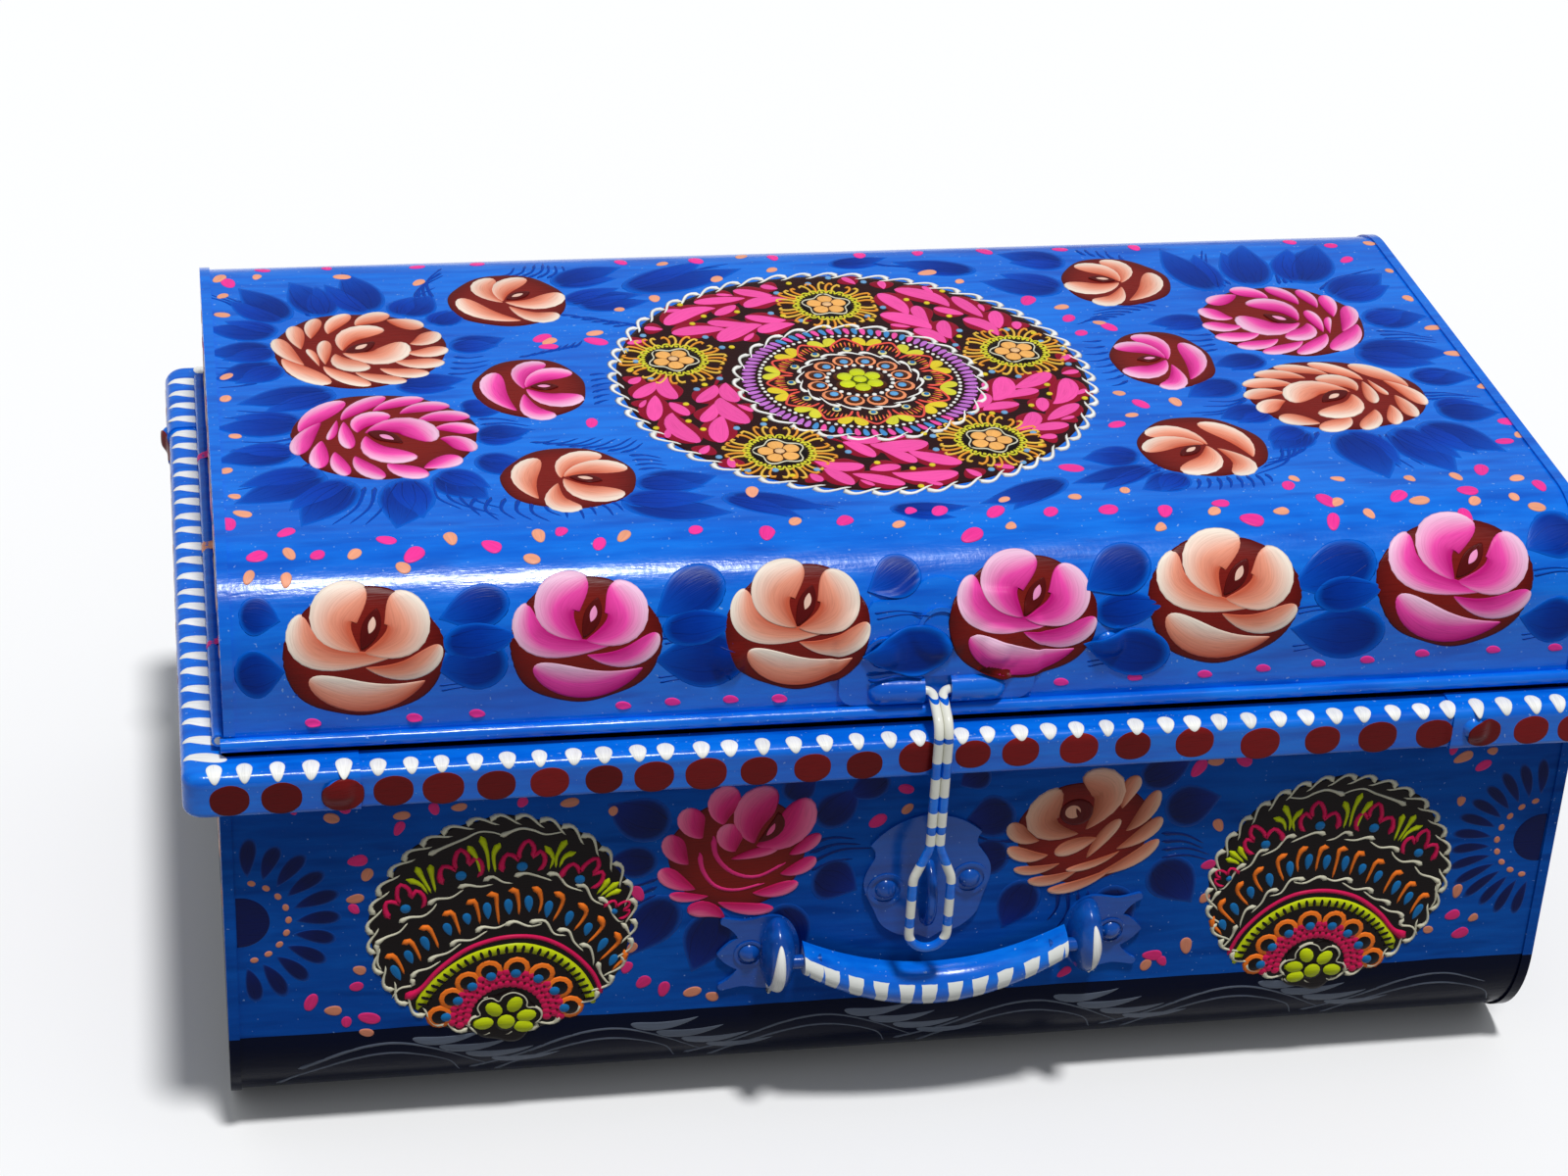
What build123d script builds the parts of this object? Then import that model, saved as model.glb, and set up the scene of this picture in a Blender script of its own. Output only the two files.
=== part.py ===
from build123d import *
from math import asin, cos, pi, radians, sin
import os

# A hand-painted sheet-metal trunk. X runs along its length, -Y is its front and Z is up.
# The origin is the middle of the flat bottom. All sizes are in millimetres.

# ---- body ----
body_length = 457.0          # over the two end panels
body_depth = 266.0           # over the front and back walls
body_bend = 43.0             # outside radius of the bends along the bottom
sheet = 0.8                  # thickness of the sheet metal
body_seam = 3.6              # width of the end panels' edges, turned over the wrap

# ---- rim round the body's mouth ----
rim_foot = 139.4             # height of the rim's underside
rim_height = 14.0
rim_reach = 10.6             # how far the rim stands out from the walls
rim_fold = 3.0               # outside radius of the fold along the top
rim_tuck = 1.5               # outside radius of the fold along the underside
rim_corner = 6.0             # outside radius of the rim's corners, seen from above
rim_leg = 9.0                # depth of the leg that grips the wall's inner face
lap_left_run = 44.5          # the left piece ends this far along the front
lap_right_run = 49.3         # the right piece ends this far along the front
lap_back_run = 40.0          # the back piece ends this far along both sides
rim_end_gap = 2.0            # the front piece stops this short of the corners
lap_rivet_inset = 7.3        # from a lap's edge to its rivet
lap_rivet_lift = 8.0         # from the rim's underside to the rivets

# ---- lid ----
lid_inset = 2.4              # the lid is this much smaller than the body on each side
lid_height = 60.2            # from the rim's top to the lid's flat top
lid_bend = 33.8              # outside radius of the lid's long bends
lid_gap = 2.6                # from the rim's top to the lid's rolled edge
lid_seam = 3.6
bead_diameter = 4.6          # rolled edge round a wire, along the front and the ends
bead_overhang = 1.2          # the front bead runs past the end panels by this much
bead_back_gap = 5.0          # the end beads stop this short of the back wall
bead_seam_gap = 0.4
wire_fit = 0.03
hem_height = 7.0             # folded edge of the lid's back wall
hem_lift = 0.9               # the hem sits above the hinge strap's underside by this much

# ---- rivets ----
head_radius = 3.7
head_height = 2.3
shank_radius = 1.9
tail_radius = 2.8
tail_height = 1.0
hole_reach = 4.0

# ---- hardware plates ----
plate = 1.2                  # thickness of the stamped plates
ring_outer = 6.3             # raised ring pressed round each rivet
ring_inner = 5.0
ring_rise = 0.5

# ---- hasp, on the lid's front ----
hasp_x = 3.8
hasp_half_width = 32.6
hasp_crown_run = 25.4        # the plate's tip is this far up the lid's bend
hasp_foot_corner = 6.0
hasp_rivet_spread = 18.5     # each rivet's distance from the middle
hasp_rivet_lift = 14.2       # from the knuckle's centre to the rivets
knuckle_lift = 12.4          # from the rim's top to the knuckle's centre
knuckle_radius = 5.0
knuckle_wall = 1.4
knuckle_half_length = 23.2
knuckle_slot = 8.8           # gap in the knuckle where the wire comes out
knuckle_bead_gap = 0.1
boss_outer = 7.6             # circle pressed in the middle of the plate
boss_inner = 6.2
boss_run = 8.0               # from the start of the lid's bend up to the circle's middle
wire_radius = 1.6
wire_play = 0.2              # from the hasp's pins to the lid
leg_gap = 0.06               # the two legs of the hasp nearly touch
hasp_elbow = 2.7             # bend radius where each leg turns into the pin
hasp_rim_gap = 1.5           # from the hanging legs to the rim's face
hasp_drop_bend = 7.0         # bend radius where the legs turn down over the rim
hasp_out_drop = 5.8          # the legs fall this much on their way out to the rim
loop_above = 26.4            # the two legs part this far above the staple's middle
loop_spread_drop = 12.0      # the legs are fully apart this much lower
loop_spread_bend = 9.0       # bend radius where they part
loop_below = 13.8            # from the staple's middle to the loop's lowest centre line
loop_half_width = 6.5        # to the wire's centre line

# ---- staple ----
staple_x = 5.6
staple_lift = 24.4           # from the handle's pivot to the rivets of the staple's plate
staple_plate_above = 28.0    # from those rivets to the plate's upper point
staple_plate_below = 23.0    # and to its lower point
staple_plate_half_width = 21.8
staple_tilt = 5.0            # degrees, the plate's right side is higher
staple_rivet_spread = 14.4
staple_drop = 3.4            # from the plate's rivets down to the middle of the ring
staple_ring_radius = 12.0    # to the wire's centre line
staple_set_back = 2.6        # the ring's middle is this far behind the wall's face
staple_wire_radius = 1.75
staple_tail = 5.0            # length of the ends, bent over inside the wall
staple_tail_bend = 2.4

# ---- handle ----
handle_x = 8.6
handle_height = 65.6         # height of the pivot
handle_rivet_spread = 63.0   # each plate's rivet, from the handle's middle
handle_ring_outer = 5.2
handle_ring_inner = 4.2
fishtail_length = 10.9       # from the rivet to the end of the plate
fishtail_half_width = 14.7
dome_middle = 7.4            # from the rivet to the middle of the plate's dome
dome_foot = 3.4              # length of the dome on the rivet's side
dome_nose = 8.6              # length of the dome on the grip's side
dome_radius = 13.6
dome_flange = 1.3            # the flat edge of the plate beyond the dome
dome_foot_share = 0.45       # radius of the dome's flat foot over its own radius
dome_tip_share = 0.05        # the same for its tip
pivot_rise = 7.6             # the pivot's distance from the wall
pin_radius = 2.4
pin_play = 0.08
pin_head_radius = 3.6
pin_head_length = 1.5
pin_reach_share = 0.6        # the pins' heads sit this far into the dome's length
pin_hold = 6.0               # length of pin inside the grip's end
grip_end_gap = 1.5           # from the dome's tip to the grip, past the plate's edge
grip_wall_gap = 3.6          # from the wall to the back of the hanging grip
grip_sag = 14.0              # the grip's middle hangs this far below its ends
grip_middle_height = 15.5
grip_end_height = 11.4
grip_middle_depth = 9.0
grip_end_depth = 8.6
grip_wall = 1.6
grip_solid_end = 7.5         # the ends are solid for this length
grip_sections = 9            # cross sections that shape the grip

# ---- strap inside the lid, behind the hasp ----
strap_left_rivet = 65.0      # from the middle of the lid
strap_right_rivet = 60.4
strap_end = 6.8              # from each of these rivets to the strap's end
strap_below = 9.0            # from the rivets to the strap's lower edge
strap_above = 6.0
strap_play = 0.2             # the rivets' tails stand off the bent strap by this much

# ---- hinges ----
hinge_spread = 130.0         # each hinge's distance from the middle
hinge_width = 38.0
hinge_leaf = 1.6
hinge_pin_radius = 1.72
hinge_play = 0.08
hinge_gap = 0.4              # between the knuckles
hinge_head_radius = 2.7
hinge_head_length = 1.2
hinge_lift = 0.6             # from the rim's laps to the middle of the pin
leaf_foot_lift = 2.2         # from the rim's underside to the leaf's foot
leaf_rivet_lift = 5.2        # from there to its rivets
leaf_corner = 3.0
hinge_rivet_spread = 10.5
lid_leaf_height = 21.2       # of the strap on the lid, over its bend
lid_leaf_rivet_lift = 12.0   # from its bend to its rivets

# ---- outlines of the stamped plates, each point a share of the half width and the height ----
hasp_crown_side = (0.28, 0.835)
hasp_crown_foot = (0.45, 0.73)
hasp_step = (0.675, 0.71)
hasp_shoulder_in = (0.78, 0.535)
hasp_shoulder_middle = (0.925, 0.395)
hasp_shoulder_out = (1.0, 0.19)
crown_lift = 0.1             # slope at the foot of the hasp plate's tip
staple_brow = (0.6, 0.845)
staple_cusp_high = (0.87, 0.65)
staple_cusp_middle = (0.8, 0.52)
staple_cusp_low = (0.855, 0.405)
staple_waist = (1.0, 0.125)
staple_flank = (0.845, -0.39)
staple_hip = (0.55, -0.81)
staple_chin = (0.37, -0.885)
staple_chin_middle = (0.19, -0.895)
cusp_slope = (0.6, -1)       # directions of the edge at the lower cusp and at the hip
hip_slope = (-1, -0.7)
tail_notch = (-1.0, 0.0)
tail_inner = (-0.735, 0.245)
tail_waist = (-0.36, 0.435)
tail_outer = (-0.59, 0.68)
tail_tip = (-0.9, 0.845)
tail_turn = (-0.91, 0.965)
tail_shoulder = (-0.735, 1.0)
tail_neck = (-0.2, 0.925)
shoulder_slope = (1, -0.2)   # direction of the edge at the shoulder
dome_foot_slope = (0.25, 1)  # directions of the dome's outline at its foot and its tip
dome_tip_slope = (0.1, -1)

# ---- what follows from the sizes above ----
half_length = body_length / 2
half_depth = body_depth / 2
rim_top = rim_foot + rim_height
lid_top = rim_top + lid_height
wall_top = rim_top - sheet
lid_half_length = half_length - lid_inset
lid_half_depth = half_depth - lid_inset
bead_radius = bead_diameter / 2
bead_out = bead_radius - sheet
bead_height = rim_top + lid_gap + bead_radius
lid_shoulder = lid_top - lid_bend
knuckle_bore = knuckle_radius - knuckle_wall
hinge_knuckle = hinge_pin_radius + hinge_play + hinge_leaf
back_rim_face = half_depth + rim_reach + 2 * sheet
hinge_y = back_rim_face + hinge_knuckle
hinge_z = rim_top + 2 * sheet + hinge_lift
strap_under = hinge_z + hinge_knuckle - hinge_leaf
leaf_low = rim_foot + leaf_foot_lift
knuckle_height = rim_top + knuckle_lift
hasp_foot = knuckle_height - knuckle_radius
hasp_rivet_height = knuckle_height + hasp_rivet_lift
staple_plate_height = handle_height + staple_lift
staple_height = staple_plate_height - staple_drop
rim_lap_left = lap_left_run - half_length
rim_lap_right = half_length - lap_right_run
rim_lap_back = half_depth - lap_back_run

os.makedirs("parts", exist_ok=True)


def trough(half, low, high, radius):
    """Outline in YZ of a box open to the top: flat bottom, rounded lower edges."""
    with BuildSketch(Plane.YZ) as outline:
        with Locations((0, low)):
            Rectangle(2 * half, high - low, align=(Align.CENTER, Align.MIN))
        fillet(outline.vertices().group_by(Axis.Y)[0], radius)
    return outline.sketch


def cover(half, low, high, radius):
    """Outline in YZ of a box open to the bottom: flat top, rounded upper edges."""
    with BuildSketch(Plane.YZ) as outline:
        with Locations((0, low)):
            Rectangle(2 * half, high - low, align=(Align.CENTER, Align.MIN))
        fillet(outline.vertices().group_by(Axis.Y)[-1], radius)
    return outline.sketch


def along_x(outline, start, end, mode=Mode.ADD):
    """Extrude a YZ outline from X = start to X = end into the part that is being built."""
    extrude(outline.moved(Location((start, 0, 0))), amount=end - start, dir=(1, 0, 0), mode=mode)


def at(shares, width, height):
    """A point of an outline, from its shares of a width and a height."""
    return (shares[0] * width, shares[1] * height)


def block(low, high, mode=Mode.ADD):
    """A box between two corners, in the part that is being built."""
    size = [b - a for a, b in zip(low, high)]
    middle = [(a + b) / 2 for a, b in zip(low, high)]
    with Locations(tuple(middle)):
        Box(*size, mode=mode)


def rivet(place, grip):
    """A domed rivet on a plane, with its shank through the sheets and an upset tail."""
    side = Plane(origin=place.origin, x_dir=place.x_dir, z_dir=-place.y_dir)
    dome = (head_radius**2 + head_height**2) / (2 * head_height)
    half_turn = asin(head_radius / dome) / 2
    knee = (dome * sin(half_turn), head_height - dome * (1 - cos(half_turn)))
    with BuildSketch(side) as profile:
        with BuildLine():
            Polyline(
                (0, head_height),
                (0, -grip - tail_height),
                (tail_radius, -grip - tail_height),
                (tail_radius, -grip),
                (shank_radius, -grip),
                (shank_radius, 0),
                (head_radius, 0),
            )
            ThreePointArc((head_radius, 0), knee, (0, head_height))
        make_face()
    revolve(profile.sketch, axis=Axis(place.origin, place.z_dir))


def rivet_hole(place):
    """The hole that a rivet's shank passes through, in one or more sheets."""
    with BuildSketch(place.offset(hole_reach)) as bore:
        Circle(shank_radius)
    extrude(bore.sketch, amount=-2 * hole_reach, mode=Mode.SUBTRACT)


def pressed_ring(place, outer, inner):
    """A raised ring pressed into a plate, whose face lies on the plane given."""
    with BuildSketch(place.offset(-plate / 2)) as ring:
        Circle(outer)
        Circle(inner, mode=Mode.SUBTRACT)
    extrude(ring.sketch, amount=plate / 2 + ring_rise)


def facing_front(x, z, stand_off, wall=half_depth):
    """A plane on the front, stand_off in front of the wall, looking towards -Y."""
    return Plane(origin=(x, -wall - stand_off, z), x_dir=(1, 0, 0), z_dir=(0, -1, 0))


def facing_back(x, y, z):
    """A plane at the back, looking towards +Y."""
    return Plane(origin=(x, y, z), x_dir=(-1, 0, 0), z_dir=(0, 1, 0))


# ---- places of the fasteners ----
handle_rivet_places = [
    facing_front(handle_x - handle_rivet_spread, handle_height, plate),
    facing_front(handle_x + handle_rivet_spread, handle_height, plate),
]
tilt_rise = staple_rivet_spread * sin(radians(staple_tilt))
tilt_run = staple_rivet_spread * cos(radians(staple_tilt))
staple_rivet_places = [
    facing_front(staple_x - tilt_run, staple_plate_height - tilt_rise, plate),
    facing_front(staple_x + tilt_run, staple_plate_height + tilt_rise, plate),
]
hasp_rivet_places = [
    facing_front(hasp_x + side * hasp_rivet_spread, hasp_rivet_height, plate, lid_half_depth)
    for side in (-1, 1)
]
strap_rivet_places = [
    facing_front(x, hasp_rivet_height, 0, lid_half_depth)
    for x in (-strap_left_rivet, strap_right_rivet)
]
lap_face = rim_reach + sheet
side_face = half_length + rim_reach + 2 * sheet
lap_rivet_height = rim_foot + lap_rivet_lift
lap_rivet_places = [
    facing_front(rim_lap_left - lap_rivet_inset, lap_rivet_height, lap_face),
    facing_front(rim_lap_right + lap_rivet_inset, lap_rivet_height, lap_face),
    Plane((-side_face, rim_lap_back + lap_rivet_inset, lap_rivet_height), (0, -1, 0), (-1, 0, 0)),
    Plane((side_face, rim_lap_back + lap_rivet_inset, lap_rivet_height), (0, 1, 0), (1, 0, 0)),
]
leaf_rivet_places = [
    facing_back(
        side * hinge_spread + step, back_rim_face + hinge_leaf, leaf_low + leaf_rivet_lift
    )
    for side in (-1, 1)
    for step in (-hinge_rivet_spread, hinge_rivet_spread)
]
lid_leaf_rivet_places = [
    facing_back(
        side * hinge_spread + step, lid_half_depth + hinge_leaf, strap_under + lid_leaf_rivet_lift
    )
    for side in (-1, 1)
    for step in (-hinge_rivet_spread, hinge_rivet_spread)
]


# ---- staple: a wire ring through the front wall, its ends bent over inside ----
staple_centre = Vector(staple_x, staple_set_back - half_depth, staple_height)
ring_nose = staple_centre + Vector(0, -staple_ring_radius, 0)
ring_shoulder = staple_centre + Vector(0, -cos(pi / 4), sin(pi / 4)) * staple_ring_radius
ring_top = staple_centre + Vector(0, 0, staple_ring_radius)
tail_bend_centre = ring_top + Vector(0, 0, staple_tail_bend)
tail_bend_middle = tail_bend_centre + Vector(0, sin(pi / 4), -cos(pi / 4)) * staple_tail_bend
tail_start = tail_bend_centre + Vector(0, staple_tail_bend, 0)
with BuildPart() as staple:
    with BuildLine() as upper_half:
        ThreePointArc(ring_nose, ring_shoulder, ring_top)
        ThreePointArc(ring_top, tail_bend_middle, tail_start)
        Line(tail_start, tail_start + Vector(0, 0, staple_tail))
    with BuildSketch(Plane(ring_nose, z_dir=(0, 0, 1))):
        Circle(staple_wire_radius)
    sweep(path=upper_half.wires()[0])
    mirror(about=Plane.XY.offset(staple_height))
staple.part.label = "staple"
export_step(staple.part, "parts/staple.step")


# ---- body wrap: front wall, bottom and back wall from one bent sheet ----
with BuildPart() as body_wrap:
    along_x(trough(half_depth, 0, wall_top, body_bend), sheet - half_length, half_length - sheet)
    along_x(
        trough(half_depth - sheet, sheet, wall_top + sheet, body_bend - sheet),
        sheet - half_length,
        half_length - sheet,
        Mode.SUBTRACT,
    )
    for place in handle_rivet_places + staple_rivet_places:
        rivet_hole(place)
    add(staple.part, mode=Mode.SUBTRACT)
body_wrap.part.label = "body_wrap"
export_step(body_wrap.part, "parts/body_wrap.step")


# ---- body ends: flat panels whose edges are turned over the wrap ----
def body_end(side):
    """One end panel; side is -1 for the left and 1 for the right."""
    outer = side * half_length
    with BuildPart() as panel:
        along_x(trough(half_depth, 0, rim_top, body_bend), outer, outer - side * sheet)
        along_x(
            trough(half_depth + sheet, -sheet, rim_foot - 2 * sheet, body_bend + sheet),
            outer,
            outer - side * body_seam,
        )
        along_x(
            trough(half_depth, 0, rim_top, body_bend),
            outer - side * sheet,
            outer - side * body_seam,
            Mode.SUBTRACT,
        )
        block((-body_length, -body_depth, -body_bend), (body_length, body_depth, 0), Mode.SUBTRACT)
    return panel.part


for side, name in ((-1, "body_left_end"), (1, "body_right_end")):
    end_panel = body_end(side)
    end_panel.label = name
    export_step(end_panel, f"parts/{name}.step")


# ---- rim: folded strips round the mouth, each lapped over the one before ----
def rim_body(level):
    """The rim as if it were solid; each lap adds one sheet outside the level below."""
    grow = level * sheet
    with BuildPart() as bar:
        with BuildSketch(Plane.XY.offset(rim_foot - grow)):
            RectangleRounded(
                body_length + 2 * (rim_reach + grow),
                body_depth + 2 * (rim_reach + grow),
                rim_corner + grow,
            )
        extrude(amount=rim_height + 2 * grow)
        fillet(bar.faces().sort_by(Axis.Z)[-1].edges(), rim_fold + grow)
        fillet(bar.faces().sort_by(Axis.Z)[0].edges(), rim_tuck + grow)
    return bar.part


def rim_strip(level, keep, legs):
    """A folded strip: one level of the rim, kept inside the boxes given, with its legs."""
    top = rim_top + level * sheet
    with BuildPart() as strip:
        for low, high in keep:
            block(low, high)
        add(rim_body(level), mode=Mode.INTERSECT)
        add(rim_body(level - 1), mode=Mode.SUBTRACT)
        block(
            (-half_length, -half_depth, 0), (half_length, half_depth, top - sheet), Mode.SUBTRACT
        )
        block(
            (sheet - half_length, sheet - half_depth, 0),
            (half_length - sheet, half_depth - sheet, lid_top),
            Mode.SUBTRACT,
        )
        for low, high in legs:
            block((*low, top - rim_leg), (*high, top))
        for place in lap_rivet_places + leaf_rivet_places:
            rivet_hole(place)
    return strip.part


far = body_length
inside_x = half_length - sheet
inside_y = half_depth - sheet
front_reach = half_length - rim_end_gap
rim_pieces = {
    "rim_front": rim_strip(
        0,
        [((-front_reach, -far, 0), (front_reach, 0, far))],
        [((2 * sheet - inside_x, -inside_y), (inside_x - 2 * sheet, sheet - inside_y))],
    ),
    "rim_left": rim_strip(
        1,
        [
            ((-far, -far, 0), (rim_lap_left, -inside_y, far)),
            ((-far, -far, 0), (-inside_x, rim_lap_back, far)),
        ],
        [((-inside_x, 2 * sheet - inside_y), (sheet - inside_x, rim_lap_back))],
    ),
    "rim_right": rim_strip(
        1,
        [
            ((rim_lap_right, -far, 0), (far, -inside_y, far)),
            ((inside_x, -far, 0), (far, rim_lap_back, far)),
        ],
        [((inside_x - sheet, 2 * sheet - inside_y), (inside_x, rim_lap_back))],
    ),
    "rim_back": rim_strip(
        2,
        [((-far, rim_lap_back, 0), (far, far, far))],
        [((2 * sheet - inside_x, inside_y - sheet), (inside_x - 2 * sheet, inside_y))],
    ),
}
for name, strip in rim_pieces.items():
    strip.label = name
    export_step(strip, f"parts/{name}.step")

with BuildPart() as rim_rivets:
    for place in lap_rivet_places:
        rivet(place, 2 * sheet)
rim_rivets.part.label = "rim_rivets"
export_step(rim_rivets.part, "parts/rim_rivets.step")


# ---- lid wrap: front, top and back from one bent sheet, with a rolled front edge ----
def bead(length_plane, run):
    """A rolled edge on a plane across its run, with room for the wire."""
    with BuildSketch(length_plane) as ring:
        Circle(bead_radius)
        Circle(bead_radius - sheet, mode=Mode.SUBTRACT)
    extrude(ring.sketch, amount=run)


front_bead_half = lid_half_length + bead_overhang
front_bead_plane = Plane(
    origin=(-front_bead_half, -lid_half_depth - bead_out, bead_height), z_dir=(1, 0, 0)
)
side_bead_start = -lid_half_depth + 2 * sheet
side_bead_run = lid_half_depth - bead_back_gap - side_bead_start
side_bead_planes = {
    side: Plane(
        origin=(side * (lid_half_length + bead_out), side_bead_start, bead_height),
        z_dir=(0, 1, 0),
    )
    for side in (-1, 1)
}
back_hem = strap_under + hem_lift

with BuildPart() as lid_wrap:
    inner_x = lid_half_length - sheet
    along_x(cover(lid_half_depth, bead_height, lid_top, lid_bend), -inner_x, inner_x)
    along_x(
        cover(lid_half_depth - sheet, bead_height - sheet, lid_top - sheet, lid_bend - sheet),
        -inner_x,
        inner_x,
        Mode.SUBTRACT,
    )
    block(
        (-inner_x, lid_half_depth - 2 * sheet, back_hem),
        (inner_x, lid_half_depth, back_hem + hem_height),
    )
    block((-far, 0, 0), (far, far, back_hem), Mode.SUBTRACT)
    bead(front_bead_plane, 2 * front_bead_half)
    for place in hasp_rivet_places + strap_rivet_places + lid_leaf_rivet_places:
        rivet_hole(place)
lid_wrap.part.label = "lid_wrap"
export_step(lid_wrap.part, "parts/lid_wrap.step")


# ---- lid ends ----
def lid_end(side):
    """One end of the lid, with its seam over the wrap and its own rolled edge."""
    outer = side * lid_half_length
    seam_foot = bead_height + bead_radius + bead_seam_gap
    outline = cover(lid_half_depth, bead_height, lid_top, lid_bend)
    seam = cover(lid_half_depth + sheet, seam_foot, lid_top + sheet, lid_bend + sheet)
    with BuildPart() as panel:
        along_x(seam, outer, outer - side * lid_seam)
        along_x(outline, outer - side * sheet, outer - side * lid_seam, Mode.SUBTRACT)
        along_x(outline, outer, outer - side * sheet)
        bead(side_bead_planes[side], side_bead_run)
        with BuildSketch(front_bead_plane) as bead_room:
            Circle(bead_radius + bead_seam_gap)
        extrude(bead_room.sketch, amount=2 * front_bead_half, mode=Mode.SUBTRACT)
    return panel.part


for side, name in ((-1, "lid_left_end"), (1, "lid_right_end")):
    end_panel = lid_end(side)
    end_panel.label = name
    export_step(end_panel, f"parts/{name}.step")

# ---- wires inside the lid's rolled edges ----
with BuildPart() as lid_edge_wires:
    wire_runs = [(front_bead_plane, 2 * front_bead_half)]
    wire_runs += [(side_bead_planes[side], side_bead_run) for side in (-1, 1)]
    for place, run in wire_runs:
        with BuildSketch(place) as wire:
            Circle(bead_radius - sheet - wire_fit)
        extrude(wire.sketch, amount=run)
lid_edge_wires.part.label = "lid_edge_wires"
export_step(lid_edge_wires.part, "parts/lid_edge_wires.step")


# ---- layers that lie on the lid's bent front ----
def lid_layer(inner, outer):
    """The lid's outline between two offsets from its outside face, as wide as the lid."""
    with BuildPart() as layer:
        along_x(
            cover(lid_half_depth + outer, 0, lid_top + outer, lid_bend + outer),
            -inner_x,
            inner_x,
        )
        along_x(
            cover(lid_half_depth + inner, -sheet, lid_top + inner, lid_bend + inner),
            -inner_x,
            inner_x,
            Mode.SUBTRACT,
        )
    return layer.part


def up_the_bend(run):
    """Height reached by going this far up the lid's front from the start of its bend."""
    return lid_shoulder + (lid_bend + plate / 2) * sin(run / (lid_bend + plate / 2))


with BuildPart() as lid_strap:
    block(
        (-strap_left_rivet - strap_end, -far, hasp_rivet_height - strap_below),
        (strap_right_rivet + strap_end, 0, hasp_rivet_height + strap_above),
    )
    add(lid_layer(-sheet - plate, -sheet), mode=Mode.INTERSECT)
    for place in hasp_rivet_places + strap_rivet_places:
        rivet_hole(place)
lid_strap.part.label = "lid_strap"
export_step(lid_strap.part, "parts/lid_strap.step")

# ---- hasp plate: an ogee-topped plate with a pressed knuckle along its foot ----
def on_the_bend(shares):
    """A point of the hasp plate's outline, from its shares of the half width and the run."""
    across, run = at(shares, hasp_half_width, hasp_crown_run)
    return (across, up_the_bend(run))


crown = on_the_bend((0, 1))
with BuildSketch(Plane.XZ) as hasp_outline:
    with BuildLine():
        corner_low = (hasp_half_width - hasp_foot_corner, hasp_foot)
        corner_high = (hasp_half_width, hasp_foot + hasp_foot_corner)
        shoulder_out = on_the_bend(hasp_shoulder_out)
        shoulder_in = on_the_bend(hasp_shoulder_in)
        crown_foot = on_the_bend(hasp_crown_foot)
        Polyline(crown, (0, hasp_foot), corner_low)
        RadiusArc(corner_low, corner_high, -hasp_foot_corner)
        Line(corner_high, shoulder_out)
        ThreePointArc(shoulder_out, on_the_bend(hasp_shoulder_middle), shoulder_in)
        Polyline(shoulder_in, on_the_bend(hasp_step), crown_foot)
        Spline(
            crown_foot, on_the_bend(hasp_crown_side), crown, tangents=[(-1, crown_lift), (-1, 0)]
        )
    make_face()
    mirror(about=Plane.YZ)


def knuckle(radius, reach):
    """A round bar with domed ends, lying along X on the lid's face."""
    middle = (hasp_x, -lid_half_depth, knuckle_height)
    straight = reach - radius
    with BuildPart() as bar:
        with Locations(Location(middle, (0, 90, 0))):
            Cylinder(radius, 2 * straight)
        with Locations((middle[0] - straight, *middle[1:]), (middle[0] + straight, *middle[1:])):
            Sphere(radius)
    return bar.part


boss_turn = boss_run / (lid_bend + plate / 2)
boss_normal = Vector(0, -cos(boss_turn), sin(boss_turn))
bend_centre = Vector(hasp_x, lid_bend - lid_half_depth, lid_shoulder)
boss_place = Plane(
    origin=bend_centre + boss_normal * (lid_bend + plate), x_dir=(1, 0, 0), z_dir=boss_normal
)
with BuildPart() as hasp_plate:
    with Locations((hasp_x, 0, 0)):
        add(extrude(hasp_outline.sketch, amount=body_depth, mode=Mode.PRIVATE))
    add(lid_layer(0, plate), mode=Mode.INTERSECT)
    add(knuckle(knuckle_radius, knuckle_half_length))
    add(knuckle(knuckle_bore, knuckle_half_length - knuckle_wall), mode=Mode.SUBTRACT)
    block((-far, -lid_half_depth, 0), (far, far, lid_shoulder), Mode.SUBTRACT)
    block(
        (hasp_x - knuckle_slot / 2, -far, hasp_foot - hasp_foot_corner),
        (hasp_x + knuckle_slot / 2, 0, knuckle_height + knuckle_radius),
        Mode.SUBTRACT,
    )
    with BuildSketch(front_bead_plane) as bead_room:
        Circle(bead_radius + knuckle_bead_gap)
    extrude(bead_room.sketch, amount=2 * front_bead_half, mode=Mode.SUBTRACT)
    pressed_ring(boss_place, boss_outer, boss_inner)
    for place in hasp_rivet_places:
        pressed_ring(place, ring_outer, ring_inner)
    add(lid_layer(-lid_bend / 2, 0), mode=Mode.SUBTRACT)
    for place in hasp_rivet_places:
        rivet_hole(place)
hasp_plate.part.label = "hasp_plate"
export_step(hasp_plate.part, "parts/hasp_plate.step")

with BuildPart() as hasp_rivets:
    for place in hasp_rivet_places:
        rivet(place, 2 * plate + sheet + strap_play)
    for place in strap_rivet_places:
        rivet(place, plate + sheet + strap_play)
hasp_rivets.part.label = "hasp_rivets"
export_step(hasp_rivets.part, "parts/hasp_rivets.step")

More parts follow.
